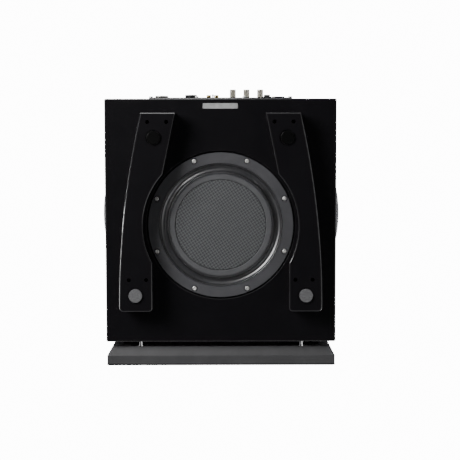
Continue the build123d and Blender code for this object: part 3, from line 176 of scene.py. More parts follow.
seen_floor = mix_by(ramp_over(fade_start, fade_end), matt, glow)
holed_floor = mix_by(outside_hole(hole_half_x, hole_half_y, hole_edge), clear, matt)
upper_side = mix_by(ray.outputs["Is Camera Ray"], holed_floor, seen_floor)
whole = mix_by(side.outputs["Backfacing"], upper_side, clear)
tree.links.new(whole.outputs[0], tree.nodes["Material Output"].inputs["Surface"])
floor_mesh.materials.append(pale_floor)
floor.visible_diffuse = False  # light that has bounced off a matt surface passes it by
print("floor at", round(floor_z, 4))

# %% Sky: white for the camera, a dim gradient for reflections
world = bpy.data.worlds.new("studio")
bpy.context.scene.world = world
world.use_nodes = True
tree = world.node_tree
tree.nodes.clear()
direction = tree.nodes.new("ShaderNodeTexCoord")
parts_of = tree.nodes.new("ShaderNodeSeparateXYZ")
tree.links.new(direction.outputs["Generated"], parts_of.inputs[0])
ramp = tree.nodes.new("ShaderNodeValToRGB")
height = tree.nodes.new("ShaderNodeMapRange")
height.inputs["From Min"].default_value = -1
tree.links.new(parts_of.outputs["Z"], height.inputs["Value"])
tree.links.new(height.outputs[0], ramp.inputs[0])
# From straight below, through the horizon at 0.5, to straight above.
stops = [
    (0.0, 0.012), (0.06, 0.018), (0.20, 0.14), (0.36, 0.55),
    (0.50, 1.0), (0.62, 0.60), (0.76, 0.32), (1.0, 0.22),
]
while len(ramp.color_ramp.elements) < len(stops):
    ramp.color_ramp.elements.new(0.5)
for stop, (position, grey) in zip(ramp.color_ramp.elements, stops):
    stop.position = position
    stop.color = (grey, grey, grey * sky_blue, 1)
dim = tree.nodes.new("ShaderNodeBackground")
tree.links.new(ramp.outputs[0], dim.inputs["Color"])
bright = tree.nodes.new("ShaderNodeBackground")
bright.inputs["Strength"].default_value = white_sky
seen = tree.nodes.new("ShaderNodeLightPath")
choose = tree.nodes.new("ShaderNodeMixShader")
out = tree.nodes.new("ShaderNodeOutputWorld")
tree.links.new(seen.outputs["Is Camera Ray"], choose.inputs["Fac"])
tree.links.new(dim.outputs[0], choose.inputs[1])
tree.links.new(bright.outputs[0], choose.inputs[2])
tree.links.new(choose.outputs[0], out.inputs["Surface"])
print("sky", stops)


# %% Lamps
def soft_lamp(name, place, aim, size, watts):
    """A square area lamp at `place` that faces `aim`."""
    lamp = bpy.data.objects.new(name, bpy.data.lights.new(name, "AREA"))
    bpy.context.collection.objects.link(lamp)
    lamp.data.size = size
    lamp.data.energy = watts
    lamp.location = place
    towards = np.array(aim) - np.array(place)
    flat = np.hypot(towards[0], towards[1])
    lamp.rotation_euler = (np.arctan2(flat, -towards[2]), 0, np.arctan2(-towards[0], towards[1]))
    lamp.visible_camera = False
    return lamp


underside, cabinet_middle = (0.0, 0.0, 0.04), (0, 0, 0.2)
soft_lamp("low key", (1.35, 0.95, -1.15), underside, 1.0, 60)
soft_lamp("low fill", (-1.5, -0.9, -1.3), underside, 1.2, 8)
soft_lamp("overhead left", (-1.6, -1.8, 2.3), cabinet_middle, 1.6, 60)
soft_lamp("overhead right", (2.0, -0.8, 1.9), cabinet_middle, 1.2, 35)
soft_lamp("behind", (0.6, 2.4, 1.5), cabinet_middle, 1.4, 40)
print("5 lamps")

# %% [markdown]
# ## How a finish is built
# Every finish is one Principled shader. What is the same all over is a plain number on the shader's own
# sockets. What varies comes from noise read on Object coordinates, so a pattern keeps its real size in metres
# and stays put on its part. Broad lumps shift the colour, the same or finer lumps shift the
# roughness, and fine grain becomes relief.


# %% Helpers for finishes
def new_finish(name, roughness=0.5, metallic=0.0, **sockets):
    """An empty Principled finish. Extra sockets are given with underscores for spaces."""
    finish = bpy.data.materials.new(name)
    finish.use_nodes = True
    shader = finish.node_tree.nodes["Principled BSDF"]
    shader.inputs["Roughness"].default_value = roughness
    shader.inputs["Metallic"].default_value = metallic
    for socket, value in sockets.items():
        shader.inputs[socket.replace("_", " ")].default_value = value
    return finish, finish.node_tree, shader


def object_point(tree, stretch=(1, 1, 1)):
    """Object coordinates, in metres, stretched."""
    place = tree.nodes.new("ShaderNodeTexCoord")
    mapping = tree.nodes.new("ShaderNodeMapping")
    mapping.inputs["Scale"].default_value = stretch
    tree.links.new(place.outputs["Object"], mapping.inputs["Vector"])
    return mapping.outputs["Vector"]


def lumps(tree, point, size, detail=2.0):
    """Soft noise from 0 to 1 with lumps about `size` metres across."""
    noise = tree.nodes.new("ShaderNodeTexNoise")
    noise.inputs["Scale"].default_value = 1 / size
    noise.inputs["Detail"].default_value = detail
    tree.links.new(point, noise.inputs["Vector"])
    return noise.outputs["Fac"]


def between(tree, value, low, high, start=0.3, end=0.7):
    """Runs from low to high as the value runs from start to end."""
    span = tree.nodes.new("ShaderNodeMapRange")
    for socket, number in zip(("From Min", "From Max", "To Min", "To Max"), (start, end, low, high)):
        span.inputs[socket].default_value = number
    tree.links.new(value, span.inputs["Value"])
    return span.outputs[0]


def two_colours(tree, value, dark, light, shader):
    """Base Color runs from dark to light as the value runs from 0 to 1."""
    mix = tree.nodes.new("ShaderNodeMix")
    mix.data_type = "RGBA"
    mix.inputs["A"].default_value = (*dark, 1)
    mix.inputs["B"].default_value = (*light, 1)
    tree.links.new(value, mix.inputs["Factor"])
    tree.links.new(mix.outputs["Result"], shader.inputs["Base Color"])


def relief(tree, value, depth, shader, socket="Normal"):
    """The value lifts the surface, or only its coat, by up to `depth` metres in the shading."""
    bump = tree.nodes.new("ShaderNodeBump")
    bump.inputs["Distance"].default_value = depth
    tree.links.new(value, bump.inputs["Height"])
    tree.links.new(bump.outputs["Normal"], shader.inputs[socket])


def grained(name, dark, light, rough, lump, grain, depth, metallic=0.0, stretch=(1, 1, 1), **sockets):
    """A finish whose colour shifts in broad lumps, and its roughness and relief in fine grain. Sizes are in
    millimetres."""
    finish, tree, shader = new_finish(name, metallic=metallic, **sockets)
    broad = lumps(tree, object_point(tree), lump / 1000)
    two_colours(tree, between(tree, broad, 0, 1), dark, light, shader)
    fine = lumps(tree, object_point(tree, stretch), grain / 1000, 3.0)
    tree.links.new(between(tree, fine, rough[0], rough[1]), shader.inputs["Roughness"])
    relief(tree, fine, depth / 1000, shader)
    return finish


finishes = {}

# %% [markdown]
# ## Lacquer
# The cabinet and the rails are fibreboard under a thick black lacquer, rubbed and polished. A black base with
# a clear coat gives the deep mirror. The faint waviness that polishing leaves, called orange peel, is some
# fifteen microns high and six millimetres across, and it makes long reflections tremble a little.

# %% Lacquer
finish, tree, shader = new_finish(
    "black lacquer", 0.30, Coat_Weight=1.0, Coat_Roughness=0.02, Coat_IOR=1.5, Specular_IOR_Level=0.25
)
cloud = lumps(tree, object_point(tree), 0.09)
two_colours(tree, between(tree, cloud, 0, 1), (0.0052, 0.0046, 0.0057), (0.0060, 0.0054, 0.0066), shader)
peel_across, peel_height = 0.006, 0.000015
relief(tree, lumps(tree, object_point(tree), peel_across, 1.0), peel_height, shader, "Coat Normal")
dust = lumps(tree, object_point(tree), 0.03, 4.0)
tree.links.new(between(tree, dust, 0.29, 0.33), shader.inputs["Roughness"])
finishes["lacquer"] = finish
print("lacquer")

# %% [markdown]
# ## Plain finishes
# Most of the other parts are cast, turned, moulded, plated or painted. One recipe covers them: two near
# colours, a roughness range, the size of the colour's lumps, and the size and depth of the grain. Brushed and
# turned metal only stretches its grain along one axis.

# %% Metals
even, along_x, along_y, round_y = (1, 1, 1), (0.06, 1, 1), (1, 0.06, 1), (1, 8, 1)
metals = {
    # slot: name, dark, light, roughness, lump, grain, depth (mm), stretch
    "black_steel": ("black zinc", (0.03,) * 3, (0.05,) * 3, (0.18, 0.28), 3, 0.5, 0.003, even),
    "bright_steel": (
        "bright nickel", (0.90, 0.89, 0.86), (0.96, 0.95, 0.93), (0.46, 0.58), 2, 0.4, 0.002, even),
    "handle_metal": (
        "satin handle", (0.62, 0.62, 0.64), (0.68, 0.68, 0.70), (0.24, 0.30), 60, 0.6, 0.002, along_y),
    "steel": ("machined steel", (0.40, 0.40, 0.41), (0.52, 0.52, 0.53), (0.25, 0.45), 8, 0.5, 0.004, along_y),
    "driver_cone": ("spun alloy", (0.30, 0.30, 0.31), (0.38, 0.38, 0.39), (0.28, 0.42), 25, 0.8, 0.004, even),
    "copper": (
        "enamelled copper", (0.60, 0.22, 0.09), (0.74, 0.34, 0.16), (0.22, 0.38), 3, 0.3, 0.01, round_y),
    "coil_former": (
        "coil former", (0.50, 0.50, 0.51), (0.60, 0.60, 0.61), (0.30, 0.45), 8, 0.5, 0.003, along_y),
    "pin_metal": ("plated pins", (0.70,) * 3, (0.85,) * 3, (0.08, 0.18), 3, 0.4, 0.002, along_y),
    "galvanised": (
        "galvanised sheet", (0.42, 0.43, 0.45), (0.62, 0.63, 0.64), (0.35, 0.55), 7, 2.0, 0.01, even),
    "knob_metal": (
        "turned knobs", (0.66, 0.62, 0.52), (0.80, 0.77, 0.68), (0.28, 0.40), 2, 0.3, 0.003, along_x),
    "pin_brass": (
        "brass blades", (0.66, 0.52, 0.24), (0.80, 0.67, 0.34), (0.18, 0.34), 2, 0.4, 0.003, along_y),
    "nickel": ("satin nickel", (0.52, 0.51, 0.48), (0.68, 0.67, 0.63), (0.20, 0.36), 3, 0.5, 0.003, along_y),
    "gold_jack": ("gold plate", (0.70, 0.52, 0.20), (0.86, 0.68, 0.32), (0.12, 0.26), 2, 0.4, 0.002, along_y),
}
for slot, (name, dark, light, rough, lump, grain, depth, stretch) in metals.items():
    finishes[slot] = grained(name, dark, light, rough, lump, grain, depth, 1.0, stretch)
print(len(metals), "metals")

# %% Paints, plastics, rubbers and boards
plains = {
    "frame_paint": (
        "cast frame paint", (0.060, 0.060, 0.065), (0.070, 0.070, 0.075), (0.40, 0.50), 25, 0.7, 0.02),
    "plate_paint": ("powder coat", (0.014, 0.014, 0.015), (0.022, 0.022, 0.023), (0.45, 0.62), 30, 0.5, 0.03),
    "gasket": ("foam gasket", (0.012,) * 3, (0.028,) * 3, (0.80, 0.95), 3, 0.5, 0.10),
    "pad_grey": ("felt pad", (0.085, 0.085, 0.088), (0.125, 0.125, 0.128), (0.85, 0.97), 3, 0.8, 0.15),
    "pad_black": ("rubber pad", (0.0015,) * 3, (0.0025,) * 3, (0.34, 0.42), 6, 0.8, 0.006),
    "label": ("silver film", (0.30, 0.30, 0.30), (0.42, 0.42, 0.42), (0.30, 0.45), 6, 1.0, 0.005),
    "cone_ring": ("moulded ring", (0.075, 0.076, 0.080), (0.090, 0.091, 0.095), (0.42, 0.55), 18, 0.8, 0.01),
    "dust_cap": ("dust cap", (0.018, 0.018, 0.020), (0.028, 0.028, 0.030), (0.20, 0.32), 15, 1.5, 0.004),
    "ferrite": ("ferrite", (0.030, 0.030, 0.033), (0.060, 0.060, 0.064), (0.55, 0.75), 12, 0.8, 0.04),
    "grille_frame": (
        "satin moulding", (0.050, 0.050, 0.052), (0.060, 0.060, 0.062), (0.45, 0.55), 30, 0.8, 0.02),
    "capacitor_sleeve": (
        "shrunk sleeve", (0.012, 0.012, 0.040), (0.022, 0.022, 0.060), (0.20, 0.35), 6, 1.5, 0.01),
    "winding_tape": ("winding tape", (0.50, 0.33, 0.05), (0.70, 0.50, 0.10), (0.22, 0.40), 8, 2.0, 0.05),
    "black_plastic": ("moulded black", (0.012,) * 3, (0.022,) * 3, (0.38, 0.55), 8, 0.6, 0.02),
    "rocker_plastic": ("rocker", (0.014,) * 3, (0.022,) * 3, (0.22, 0.34), 6, 0.8, 0.006),
    "raw_board": ("raw fibreboard", (0.28, 0.18, 0.10), (0.42, 0.29, 0.17), (0.80, 0.95), 8, 0.7, 0.08),
}
for slot, recipe in plains.items():
    finishes[slot] = grained(*recipe, Specular_IOR_Level=0.15 if slot == "pad_black" else 0.5)
print(len(plains), "plain finishes")

# %% [markdown]
# ## Circuit board and lamp lens
# Solder resist is a thin green lacquer over copper tracks, so a lighter pattern of straight lines shows
# through it: a pattern of square cells is enough. The status lamp is a clear blue lens, a solid that
# bends light, with a faint cloud in it.

# %% Circuit board, lens
finish, tree, shader = new_finish("solder resist", 0.35, Coat_Weight=0.4, Coat_Roughness=0.15)
point = object_point(tree)
tracks = tree.nodes.new("ShaderNodeTexVoronoi")
tracks.distance = "MANHATTAN"
tracks.inputs["Scale"].default_value = 180
tree.links.new(point, tracks.inputs["Vector"])
track_edge = between(tree, tracks.outputs["Distance"], 0, 1, 0.3, 0.6)
two_colours(tree, track_edge, (0.008, 0.06, 0.02), (0.02, 0.13, 0.05), shader)
relief(tree, tracks.outputs["Distance"], 0.0001, shader)
finishes["circuit_board"] = finish

finish, tree, shader = new_finish("blue lens", 0.08, Transmission_Weight=0.6, IOR=1.49)
cloud = lumps(tree, object_point(tree), 0.002)
two_colours(tree, between(tree, cloud, 0, 1), (0.03, 0.09, 0.50), (0.05, 0.14, 0.65), shader)
relief(tree, cloud, 0.00002, shader)
finishes["led_lens"] = finish
print("board and lens")

# %% [markdown]
# ## Rubber of the surround
# Butyl rubber has a satin skin: dark, slightly blue-grey, with a soft sheen where it turns. A trace of fine
# unevenness and a roughness that drifts keep its long highlights from looking like glass.

# %% Rubber
finish, tree, shader = new_finish(
    "surround rubber", 0.40, Specular_IOR_Level=1.0, Coat_Weight=1.0, Coat_Roughness=0.30, Coat_IOR=1.7
)
drift = lumps(tree, object_point(tree), 0.03)
two_colours(tree, between(tree, drift, 0, 1), (0.016, 0.016, 0.018), (0.022, 0.022, 0.025), shader)
tree.links.new(between(tree, drift, 0.36, 0.44), shader.inputs["Roughness"])
relief(tree, lumps(tree, object_point(tree), 0.0012), 0.00002, shader)
finishes["surround"] = finish
print("rubber")

# %% [markdown]
# ## Cloth, wadding and the woven disc
# Cloth needs a pattern of threads. A plain weave is two sets of parallel waves at right angles: where they
# multiply, one thread lies over the other. On a flat cloth the waves can be read straight from Object
# coordinates, stretched so that one wave is one thread.


# %% Woven and fibrous finishes
def threads(tree, pitch, axes=("X", "Z")):
    """Two sets of sine waves at right angles, multiplied: high where threads cross, low in the gaps."""
    product = tree.nodes.new("ShaderNodeMath")
    product.operation = "MULTIPLY"
    for k, axis in enumerate(axes):
        wave = tree.nodes.new("ShaderNodeTexWave")
        wave.bands_direction = axis
        wave.inputs["Scale"].default_value = pi / 10 / pitch
        wave.inputs["Distortion"].default_value = 0.0
        tree.links.new(object_point(tree), wave.inputs["Vector"])
        tree.links.new(wave.outputs["Fac"], product.inputs[k])
    return product.outputs[0]


finish, tree, shader = new_finish("grille knit", 0.85, Sheen_Weight=0.25, Sheen_Roughness=0.5)
knit = threads(tree, 0.0012)
two_colours(tree, knit, (0.005, 0.005, 0.005), (0.011, 0.011, 0.012), shader)
tree.links.new(between(tree, knit, 0.90, 0.80), shader.inputs["Roughness"])
relief(tree, knit, 0.0002, shader)
finishes["grille_cloth"] = finish

finish, tree, shader = new_finish("dipped spider cloth", 0.75)
weave = threads(tree, 0.0009, axes=("X", "Y"))
two_colours(tree, weave, (0.26, 0.17, 0.06), (0.52, 0.37, 0.16), shader)
tree.links.new(between(tree, weave, 0.62, 0.85), shader.inputs["Roughness"])
relief(tree, weave, 0.0003, shader)
finishes["spider_cloth"] = finish

finish, tree, shader = new_finish("wadding", 0.95, Sheen_Weight=0.4, Sheen_Roughness=0.7)
fluff = lumps(tree, object_point(tree), 0.012, 8.0)
two_colours(tree, between(tree, fluff, 0, 1), (0.55, 0.55, 0.52), (0.80, 0.80, 0.78), shader)
tree.links.new(between(tree, fluff, 0.85, 0.98), shader.inputs["Roughness"])
relief(tree, fluff, 0.003, shader)
finishes["wadding"] = finish

finish, tree, shader = new_finish("woven composite", 0.45)
laid = tree.nodes.new("ShaderNodeAttribute")
laid.attribute_name = "thread_height"
top_of_thread = between(tree, laid.outputs["Fac"], 0, 1, 0.40, 0.95)
two_colours(tree, top_of_thread, (0.024, 0.025, 0.026), (0.104, 0.108, 0.111), shader)
strand = lumps(tree, object_point(tree), 0.0009, 3.0)
tree.links.new(between(tree, strand, 0.36, 0.52), shader.inputs["Roughness"])
relief(tree, strand, 0.00008, shader)
finishes["woven_disc"] = finish
print(len(finishes), "finishes")

# %% [markdown]
# ## Finishes go on the CAD parts
# Each CAD part names one slot in the record. Its own material slots take the finish of that name, and the
# mesh stays untouched.

# %% Assign
for name, node in nodes.items():
    for material_slot in node.material_slots:
        material_slot.material = finishes[slot_of[name]]
missing = sorted(set(slot_of.values()) - set(finishes))
print("slots without a finish:", missing)


# %% [markdown]
# ## Making a turned piece
# Surrounds and spiders are one outline carried round an axis. The outline is a closed loop of
# points (radius, depth), where depth runs into the cabinet from the frame's face. As whole arrays, a point is
# centre + radius * (cos a, sin a) across the axis + depth along it. The ring closes on itself both ways, so
# there are no seams or poles.


# %% Turned ring
def add_piece(name, points, faces, slot):
    """A mesh object from an array of points and an array of four-cornered faces."""
    mesh = bpy.data.meshes.new(name)
    mesh.vertices.add(len(points))
    mesh.vertices.foreach_set("co", np.asarray(points, np.float32).ravel())
    mesh.loops.add(faces.size)
    mesh.loops.foreach_set("vertex_index", faces.astype(np.int32).ravel())
    mesh.polygons.add(len(faces))
    mesh.polygons.foreach_set("loop_start", np.arange(0, faces.size, faces.shape[1], dtype=np.int32))
    mesh.polygons.foreach_set("use_smooth", np.ones(len(faces), bool))
    mesh.update(calc_edges=True)
    mesh.validate()
    mesh.materials.append(finishes[slot])
    piece = bpy.data.objects.new(name, mesh)
    bpy.context.collection.objects.link(piece)
    return piece


def loop_faces(rows, columns, wrap_rows=True):
    """Corners of the quads of a grid that closes on itself across, and along if wrap_rows."""
    index = np.arange(rows * columns).reshape(rows, columns)
    down = np.roll(index, -1, 0)
    if not wrap_rows:
        index, down = index[:-1], down[:-1]
    return np.stack([index, down, np.roll(down, -1, 1), np.roll(index, -1, 1)], -1).reshape(-1, 4)


def turned_ring(name, outline, centre, across, along, slot, steps=240):
    """Carries a closed outline of (radius, depth) round the axis `along` through `centre`. `across` holds the
    two directions at right angles to the axis."""
    radius, depth = outline[:, 0:1], outline[:, 1:2]
    a = np.arange(steps) * 2 * pi / steps
    right, up, inwards = (np.array(v, float) for v in (*across, along))
    spoke = np.cos(a)[:, None] * right + np.sin(a)[:, None] * up
    points = np.array(centre) + radius[:, None, :] * spoke[None] + depth[:, None, :] * inwards
    return add_piece(name, points.reshape(-1, 3), loop_faces(len(outline), steps), slot)


def facing_out(piece):
    """Flips the faces if the closed mesh has its inside out: its signed volume is then below zero."""
    mesh = piece.data
    co = np.empty(len(mesh.vertices) * 3)
    mesh.vertices.foreach_get("co", co)
    co = co.reshape(-1, 3)
    corner = np.empty(len(mesh.loops), int)
    mesh.loops.foreach_get("vertex_index", corner)
    quad = co[corner.reshape(-1, 4)]
    volume = sum(
        np.einsum("ij,ij->i", quad[:, 0], np.cross(quad[:, k], quad[:, k + 1])).sum() for k in (1, 2)
    )
    if volume < 0:
        mesh.flip_normals()
    return piece


# %% [markdown]
# ## Surrounds
# A surround is a half roll of rubber between two flat lands. The radiator's roll dips into the cabinet and
# the driver's stands out, which keeps each clear of what is in front of it. The radiator's CAD ring gives
# the sizes of both: its box is as wide as the outer land, and its near face is where the lands lie. The
# shoulders between roll and lands get a small radius, because moulded rubber has no sharp inner corner.


# %% Surround outline
def roll_outline(inner_r, outer_r, roll_mid, roll_r, shoulder, face, thickness, lift):
    """A closed outline: lands at depth `face`, joined by a half circle of radius roll_r that is pushed by
    `lift` (+1 into the cabinet, -1 out of it), with the corners eased over a width of `shoulder`; then the
    same line one thickness behind, walked back."""
    r = np.unique(np.concatenate([
        np.linspace(inner_r, roll_mid - roll_r - shoulder, 6),
        roll_mid - (roll_r + shoulder) * np.cos(np.linspace(0, pi, 49)),
        np.linspace(roll_mid + roll_r + shoulder, outer_r, 5),
    ]).round(7))
    t = np.clip(1 - ((r - roll_mid) / (roll_r + shoulder)) ** 2, 0, 1)
    bulge = roll_r * np.sqrt(t) * t ** (shoulder / roll_r)
    front = np.stack([r, face + lift * bulge], 1)
    slope = np.gradient(front[:, 1], front[:, 0])
    normal = np.stack([-slope, np.ones_like(slope)], 1) / np.hypot(slope, 1)[:, None]
    back = front + thickness * normal
    back[:, 0] = np.clip(back[:, 0], inner_r, outer_r)
    return np.concatenate([front, back[::-1]])


def radial_blend(piece):
    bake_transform(piece)
    co = np.empty(len(piece.data.vertices) * 3)
    piece.data.vertices.foreach_get("co", co)


mm = 0.001
across_radiator, into_radiator = ((1, 0, 0), (0, 1, 0)), (0, 0, 1)
across_driver, into_driver = ((1, 0, 0), (0, 0, 1)), (0, 1, 0)
low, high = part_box("radiator_frame")
radiator_centre = np.array([(low.x + high.x) / 2, (low.y + high.y) / 2, low.z])
low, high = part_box("driver_basket")
driver_centre = np.array([(low.x + high.x) / 2, low.y, (low.z + high.z) / 2])
low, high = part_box("radiator_surround")
rim_r = (high.x - low.x) / 2
land = low.z - radiator_centre[2]
land_to_land = 19.25 * mm
land_inner_r = rim_r - land_to_land
print("surround from", round(land_inner_r, 4), "to", round(rim_r, 4), "land", round(land, 4))

# %% Surrounds
roll_r, shoulder, rubber, roll_shift = 5.9 * mm, 0.9 * mm, 1.1 * mm, 0.85 * mm
roll_mid = (rim_r + land_inner_r) / 2 + roll_shift
for body, centre, across, along, lift in (
    ("radiator", radiator_centre, across_radiator, into_radiator, 1),
    ("driver", driver_centre, across_driver, into_driver, -1),
):
    name = f"{body}_roll"
    outline = roll_outline(land_inner_r, rim_r, roll_mid, roll_r, shoulder, land, rubber, lift)
    roll = facing_out(turned_ring(name, outline, centre, across, along, "surround"))
    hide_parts(f"{body}_surround")
    radial_blend(roll)
    print(name, len(roll.data.polygons), "faces")

# %% [markdown]
# ## Spiders
# A spider is a disc of cotton dipped in resin and pressed into rings of waves. It centres the cone and
# springs it back. Its outline is a cosine along the radius, flat at the two glued ends, and it is under a
# millimetre thick.


# %% Spiders
def spider_outline(inner_r, outer_r, inner_land, outer_land, waves, rise, depth, thickness):
    """A closed outline: depth - rise * (1 - cos) / 2 between the lands, then one thickness behind, walked
    back."""
    r = np.linspace(inner_r, outer_r, 110)
    t = np.clip((r - inner_r - inner_land) / (outer_r - outer_land - inner_r - inner_land), 0, 1)
    front = np.stack([r, depth - rise * (1 - np.cos(2 * pi * waves * t)) / 2], 1)
    return np.concatenate([front, front[::-1] + (0, thickness)])


inner_land, outer_land, waves, rise = 2 * mm, 8 * mm, 3, 2.6 * mm
spider_cloth, spider_clearance = 0.8 * mm, 0.9 * mm
for body, core, centre, across, along in (
    ("radiator", 35.1 * mm, radiator_centre, across_radiator, into_radiator),
    ("driver", 27.5 * mm, driver_centre, across_driver, into_driver),
):
    name, node = f"{body}_spider_cloth", f"{body}_spider"
    low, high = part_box(node)
    outer_r = (high.x - low.x) / 2
    back = (np.array(high) - centre) @ np.array(along)
    depth = back - spider_clearance
    outline = spider_outline(core, outer_r, inner_land, outer_land, waves, rise, depth, spider_cloth)
    cloth = facing_out(turned_ring(name, outline, centre, across, along, "spider_cloth", 180))
    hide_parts(node)
    radial_blend(cloth)
    print(name, len(cloth.data.polygons), "faces")

# %% [markdown]
# ## The woven disc
# The radiator's disc is a coarse plain weave set in resin. Its threads are real relief, because raking light
# shows every one of them. The disc is made from a square grid squeezed onto a circle, which has no pole and
# keeps its cells nearly equal. On it, each thread is a row of long humps: a thread's height is a half sine
# across its width, lifted where it passes over and lowered where it passes under. The higher of the two sets
# of threads is what shows.

# %% Woven disc
thread_pitch = 4.8 * mm
thread_turn = radians(147.0)
thread_relief = 0.9 * mm
rim_fade = 1.2 * mm
cross_lift = 0.25
grid_side = 240


def square_to_disc(n):
    """A grid of n by n points on the unit disc: squares become rings, each point at radius max(|a|, |b|)
    and an angle in proportion along its side."""
    a, b = np.meshgrid(np.linspace(-1, 1, n), np.linspace(-1, 1, n), indexing="ij")
    wide = np.abs(a) > np.abs(b)
    radius = np.where(wide, a, b)
    ratio = np.divide(np.where(wide, b, a), radius, out=np.zeros_like(radius), where=radius != 0)
    angle = np.where(wide, pi / 4 * ratio, pi / 2 - pi / 4 * ratio)
    return radius * np.cos(angle), radius * np.sin(angle)


def weave_height(x, y, pitch):
    """0 to 1: the higher of two sets of threads. Across a thread the height is |sin|; along it the sign of
    the crossing lifts or lowers it."""
    u, v = x / pitch, y / pitch
    over = np.sign(np.sin(pi * u) * np.sin(pi * v))
    swing = np.abs(np.sin(pi * u) * np.sin(pi * v)) ** 0.5 * over
    warp = np.abs(np.sin(pi * u)) ** 0.6 * (1 - cross_lift + cross_lift * swing)
    weft = np.abs(np.sin(pi * v)) ** 0.6 * (1 - cross_lift - cross_lift * swing)
    return np.maximum(warp, weft)


low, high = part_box("radiator_disc")
disc_r = (high.x - low.x) / 2
x, y = (disc_r * g for g in square_to_disc(grid_side))
c, s = cos(thread_turn), sin(thread_turn)
lift = weave_height(c * x + s * y, c * y - s * x, thread_pitch)
rim = np.clip((disc_r - np.hypot(x, y)) / rim_fade, 0, 1)
z = low.z + thread_relief * (1 - lift * rim)
top = np.stack([x + radiator_centre[0], y + radiator_centre[1], z], -1)
index = np.arange(grid_side ** 2).reshape(grid_side, grid_side)
quads = np.stack([index[:-1, :-1], index[:-1, 1:], index[1:, 1:], index[1:, :-1]], -1).reshape(-1, 4)
edge = np.concatenate([index[0, :-1], index[:-1, -1], index[-1, :0:-1], index[:0:-1, 0]])
# The back is a ring of the same points, drawn in and lifted to the disc's far face, and a flat middle.
points = [top.reshape(-1, 3)]
shell = [quads]
ring_of = edge
for share in (1.0, 0.6, 0.2, 0.0):
    new = top.reshape(-1, 3)[edge].copy()
    new[:, :2] = radiator_centre[:2] + (new[:, :2] - radiator_centre[:2]) * share
    new[:, 2] = high.z
    start = sum(len(p) for p in points)
    ids = start + np.arange(len(edge))
    shell.append(np.stack([ring_of, ids, np.roll(ids, -1), np.roll(ring_of, -1)], -1))
    points.append(new)
    ring_of = ids
disc = add_piece("woven_radiator_disc", np.concatenate(points), np.concatenate(shell), "woven_disc")
thread_height = disc.data.attributes.new("thread_height", "FLOAT", "POINT")
shown_height = np.zeros(len(disc.data.vertices), np.float32)
shown_height[: grid_side ** 2] = (lift * rim).ravel()
thread_height.data.foreach_set("value", shown_height)
facing_out(disc)
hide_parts("radiator_disc")
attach(disc, "radiator_moving")
print("woven disc", len(disc.data.polygons), "faces")

# %% [markdown]
# ## Grille cloth
# The grille is a moulded frame with black knit stretched over its front and glued behind its edge. The cloth
# is one surface: a flat front that turns over a small radius and runs back along the band. As a function of
# two parameters, one walks round a rounded rectangle and the other walks from the front's middle out to the
# edge and back along the band.


# %% Grille cloth
def rounded_rectangle(half_width, half_height, corner, n):
    """n points, equally spaced by angle parameter, round a rectangle with rounded corners, and the outward
    direction at each."""
    straight = 2 * (half_width + half_height - 2 * corner)
    total = 2 * straight + 2 * pi * corner
    s = np.arange(n) * total / n
    lengths = [2 * (half_height - corner), pi / 2 * corner, 2 * (half_width - corner), pi / 2 * corner] * 2
    ends = np.concatenate([[0], np.cumsum(lengths)])
    leg = np.clip(np.searchsorted(ends, s, side="right") - 1, 0, 7)
    along = s - ends[leg]
    a, b = half_width - corner, half_height - corner
    side = leg // 2
    turn = np.where(leg % 2 == 1, along / corner, 0.0) + side * pi / 2
    centre_x = np.array([a, -a, -a, a])[side]
    centre_y = np.array([b, b, -b, -b])[side]
    back = np.where(leg % 2 == 0, np.array(lengths)[leg] - along, 0.0)
    direction = np.stack([np.cos(turn), np.sin(turn)], 1)
    tangent = np.stack([-np.sin(turn), np.cos(turn)], 1)
    middle = np.stack([centre_x, centre_y], 1)
    return middle + corner * direction - tangent * back[:, None], direction


low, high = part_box("grille_frame")
front_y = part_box("grille_cloth")[0].y
half_w, half_h = (high.x - low.x) / 2, (high.z - low.z) / 2
mid_z = (high.z + low.z) / 2
wrap = 3.4 * mm  # how far the cloth runs back along the band
cloth, edge_r, proud, corner_r = 0.6 * mm, 2.2 * mm, 0.35 * mm, 2.5 * mm
print("grille", round(2 * half_w, 4), round(2 * half_h, 4), "front", round(front_y, 4))

# The walk from the middle: the flat front as shares of the way out, then the turned edge, then the band. Each
# row has a distance in from the outside of the band, and one behind the front.
flat = np.concatenate([[0.0001, 0.002], np.linspace(0, 0.95, 20)[1:]])
quarter = np.linspace(0, pi / 2, 9)
run_back = np.linspace(edge_r, wrap, 5)[1:]
share = np.concatenate([flat, np.ones(len(quarter) + len(run_back))])
inset = np.concatenate([np.zeros_like(flat), edge_r * (1 - np.sin(quarter)), np.zeros_like(run_back)])
behind = np.concatenate([np.zeros_like(flat), edge_r * (1 - np.cos(quarter)), run_back])
around = 480
skins = []
for offset in (proud, proud - cloth):
    rows = []
    for k in range(len(inset)):
        w, h = (share[k] * (half + offset - inset[k]) for half in (half_w, half_h))
        outline, direction = rounded_rectangle(w, h, min(corner_r, 0.5 * h), around)
        y = front_y + behind[k] + (cloth if offset < proud else 0) * (behind[k] <= edge_r)
        rows.append(np.stack([outline[:, 0], np.full(around, y), mid_z + outline[:, 1]], 1))
    skins.append(np.array(rows))
sheet = np.concatenate([skins[0], skins[1][::-1]])
knit = add_piece("grille_knit", sheet.reshape(-1, 3), loop_faces(len(sheet), around), "grille_cloth")
facing_out(knit)
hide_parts("grille_cloth")
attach(knit, "grille")
print("grille cloth", len(knit.data.polygons), "faces")

# %% [markdown]
# ## Wadding
# A blanket of polyester wadding lines the top of the cabinet and hangs down both sides, to take the air's
# resonance away. It is quilted: stitched along a coarse square pattern, so it is thick between the stitches
# and thin along them. It is a path over the top and down the sides, with a thickness that is a function of
# the distance along the path and of the depth into the cabinet.


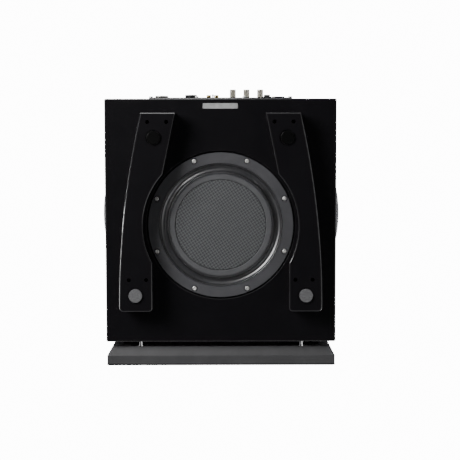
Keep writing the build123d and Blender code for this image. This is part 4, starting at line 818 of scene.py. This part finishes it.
# %% Quilted wadding
def blanket_path(low_x, high_x, low_z, high_z, corner, step):
    """Points up one side, over the top and down the other, with round corners, and the inward direction at
    each."""
    up = np.arange(low_z, high_z - corner, step)
    over = np.arange(low_x + corner, high_x - corner, step)
    bend = np.linspace(pi, pi / 2, 10)[:-1]
    left = np.stack([np.full_like(up, low_x), up], 1)
    left_bend = (low_x + corner, high_z - corner) + corner * np.stack([np.cos(bend), np.sin(bend)], 1)
    top = np.stack([over, np.full_like(over, high_z)], 1)
    half = np.concatenate([left, left_bend, top])
    half_inward = np.concatenate([
        np.tile([1.0, 0.0], (len(up), 1)),
        -np.stack([np.cos(bend), np.sin(bend)], 1),
        np.tile([0.0, -1.0], (len(over), 1)),
    ])
    right = np.concatenate([left, left_bend])[::-1] * (-1, 1) + (low_x + high_x, 0)
    right_inward = half_inward[: len(left) + len(left_bend)][::-1] * (-1, 1)
    return np.concatenate([half, right]), np.concatenate([half_inward, right_inward])


low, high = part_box("damping_lining")
blanket, seam_share, roundness = 17.6 * mm, 0.45, 0.4
quilt, bend_r, path_step = 80 * mm, 26 * mm, 4 * mm
path, inward = blanket_path(low.x, high.x, low.z, high.z, bend_r, path_step)
walked = np.concatenate([[0], np.cumsum(np.hypot(*np.diff(path, axis=0).T))])
quilts_along = round(walked[-1] / quilt)
quilts_deep = max(1, round((high.y - low.y) / quilt))
deep = np.linspace(0, 1, 25 * quilts_deep)
hump_along = np.abs(np.sin(pi * quilts_along * walked / walked[-1]))
hump = hump_along[:, None] * np.abs(np.sin(pi * quilts_deep * deep))
thickness = blanket * (seam_share + (1 - seam_share) * hump ** roundness)
inner = path[:, None, :] + thickness[:, :, None] * inward[:, None, :]
y = np.broadcast_to(low.y + deep * (high.y - low.y), hump.shape)
front_skin = np.stack([inner[:, :, 0], y, inner[:, :, 1]], -1)
wall_side = np.stack([
    np.broadcast_to(path[:, None, 0], hump.shape), y, np.broadcast_to(path[:, None, 1], hump.shape)
], -1)
skin = np.concatenate([front_skin, wall_side[:, ::-1]], 1)
rows, columns = skin.shape[:2]
fold = np.arange(columns // 2 - 1)
cap = np.stack([fold, fold + 1, columns - 2 - fold, columns - 1 - fold], 1)
shell = np.concatenate([loop_faces(rows, columns, False), cap, (rows - 1) * columns + cap[:, ::-1]])
wadding = facing_out(add_piece("quilted_wadding", skin.reshape(-1, 3), shell, "wadding"))
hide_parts("damping_lining")
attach(wadding, "root")
print("wadding", len(wadding.data.polygons), "faces")
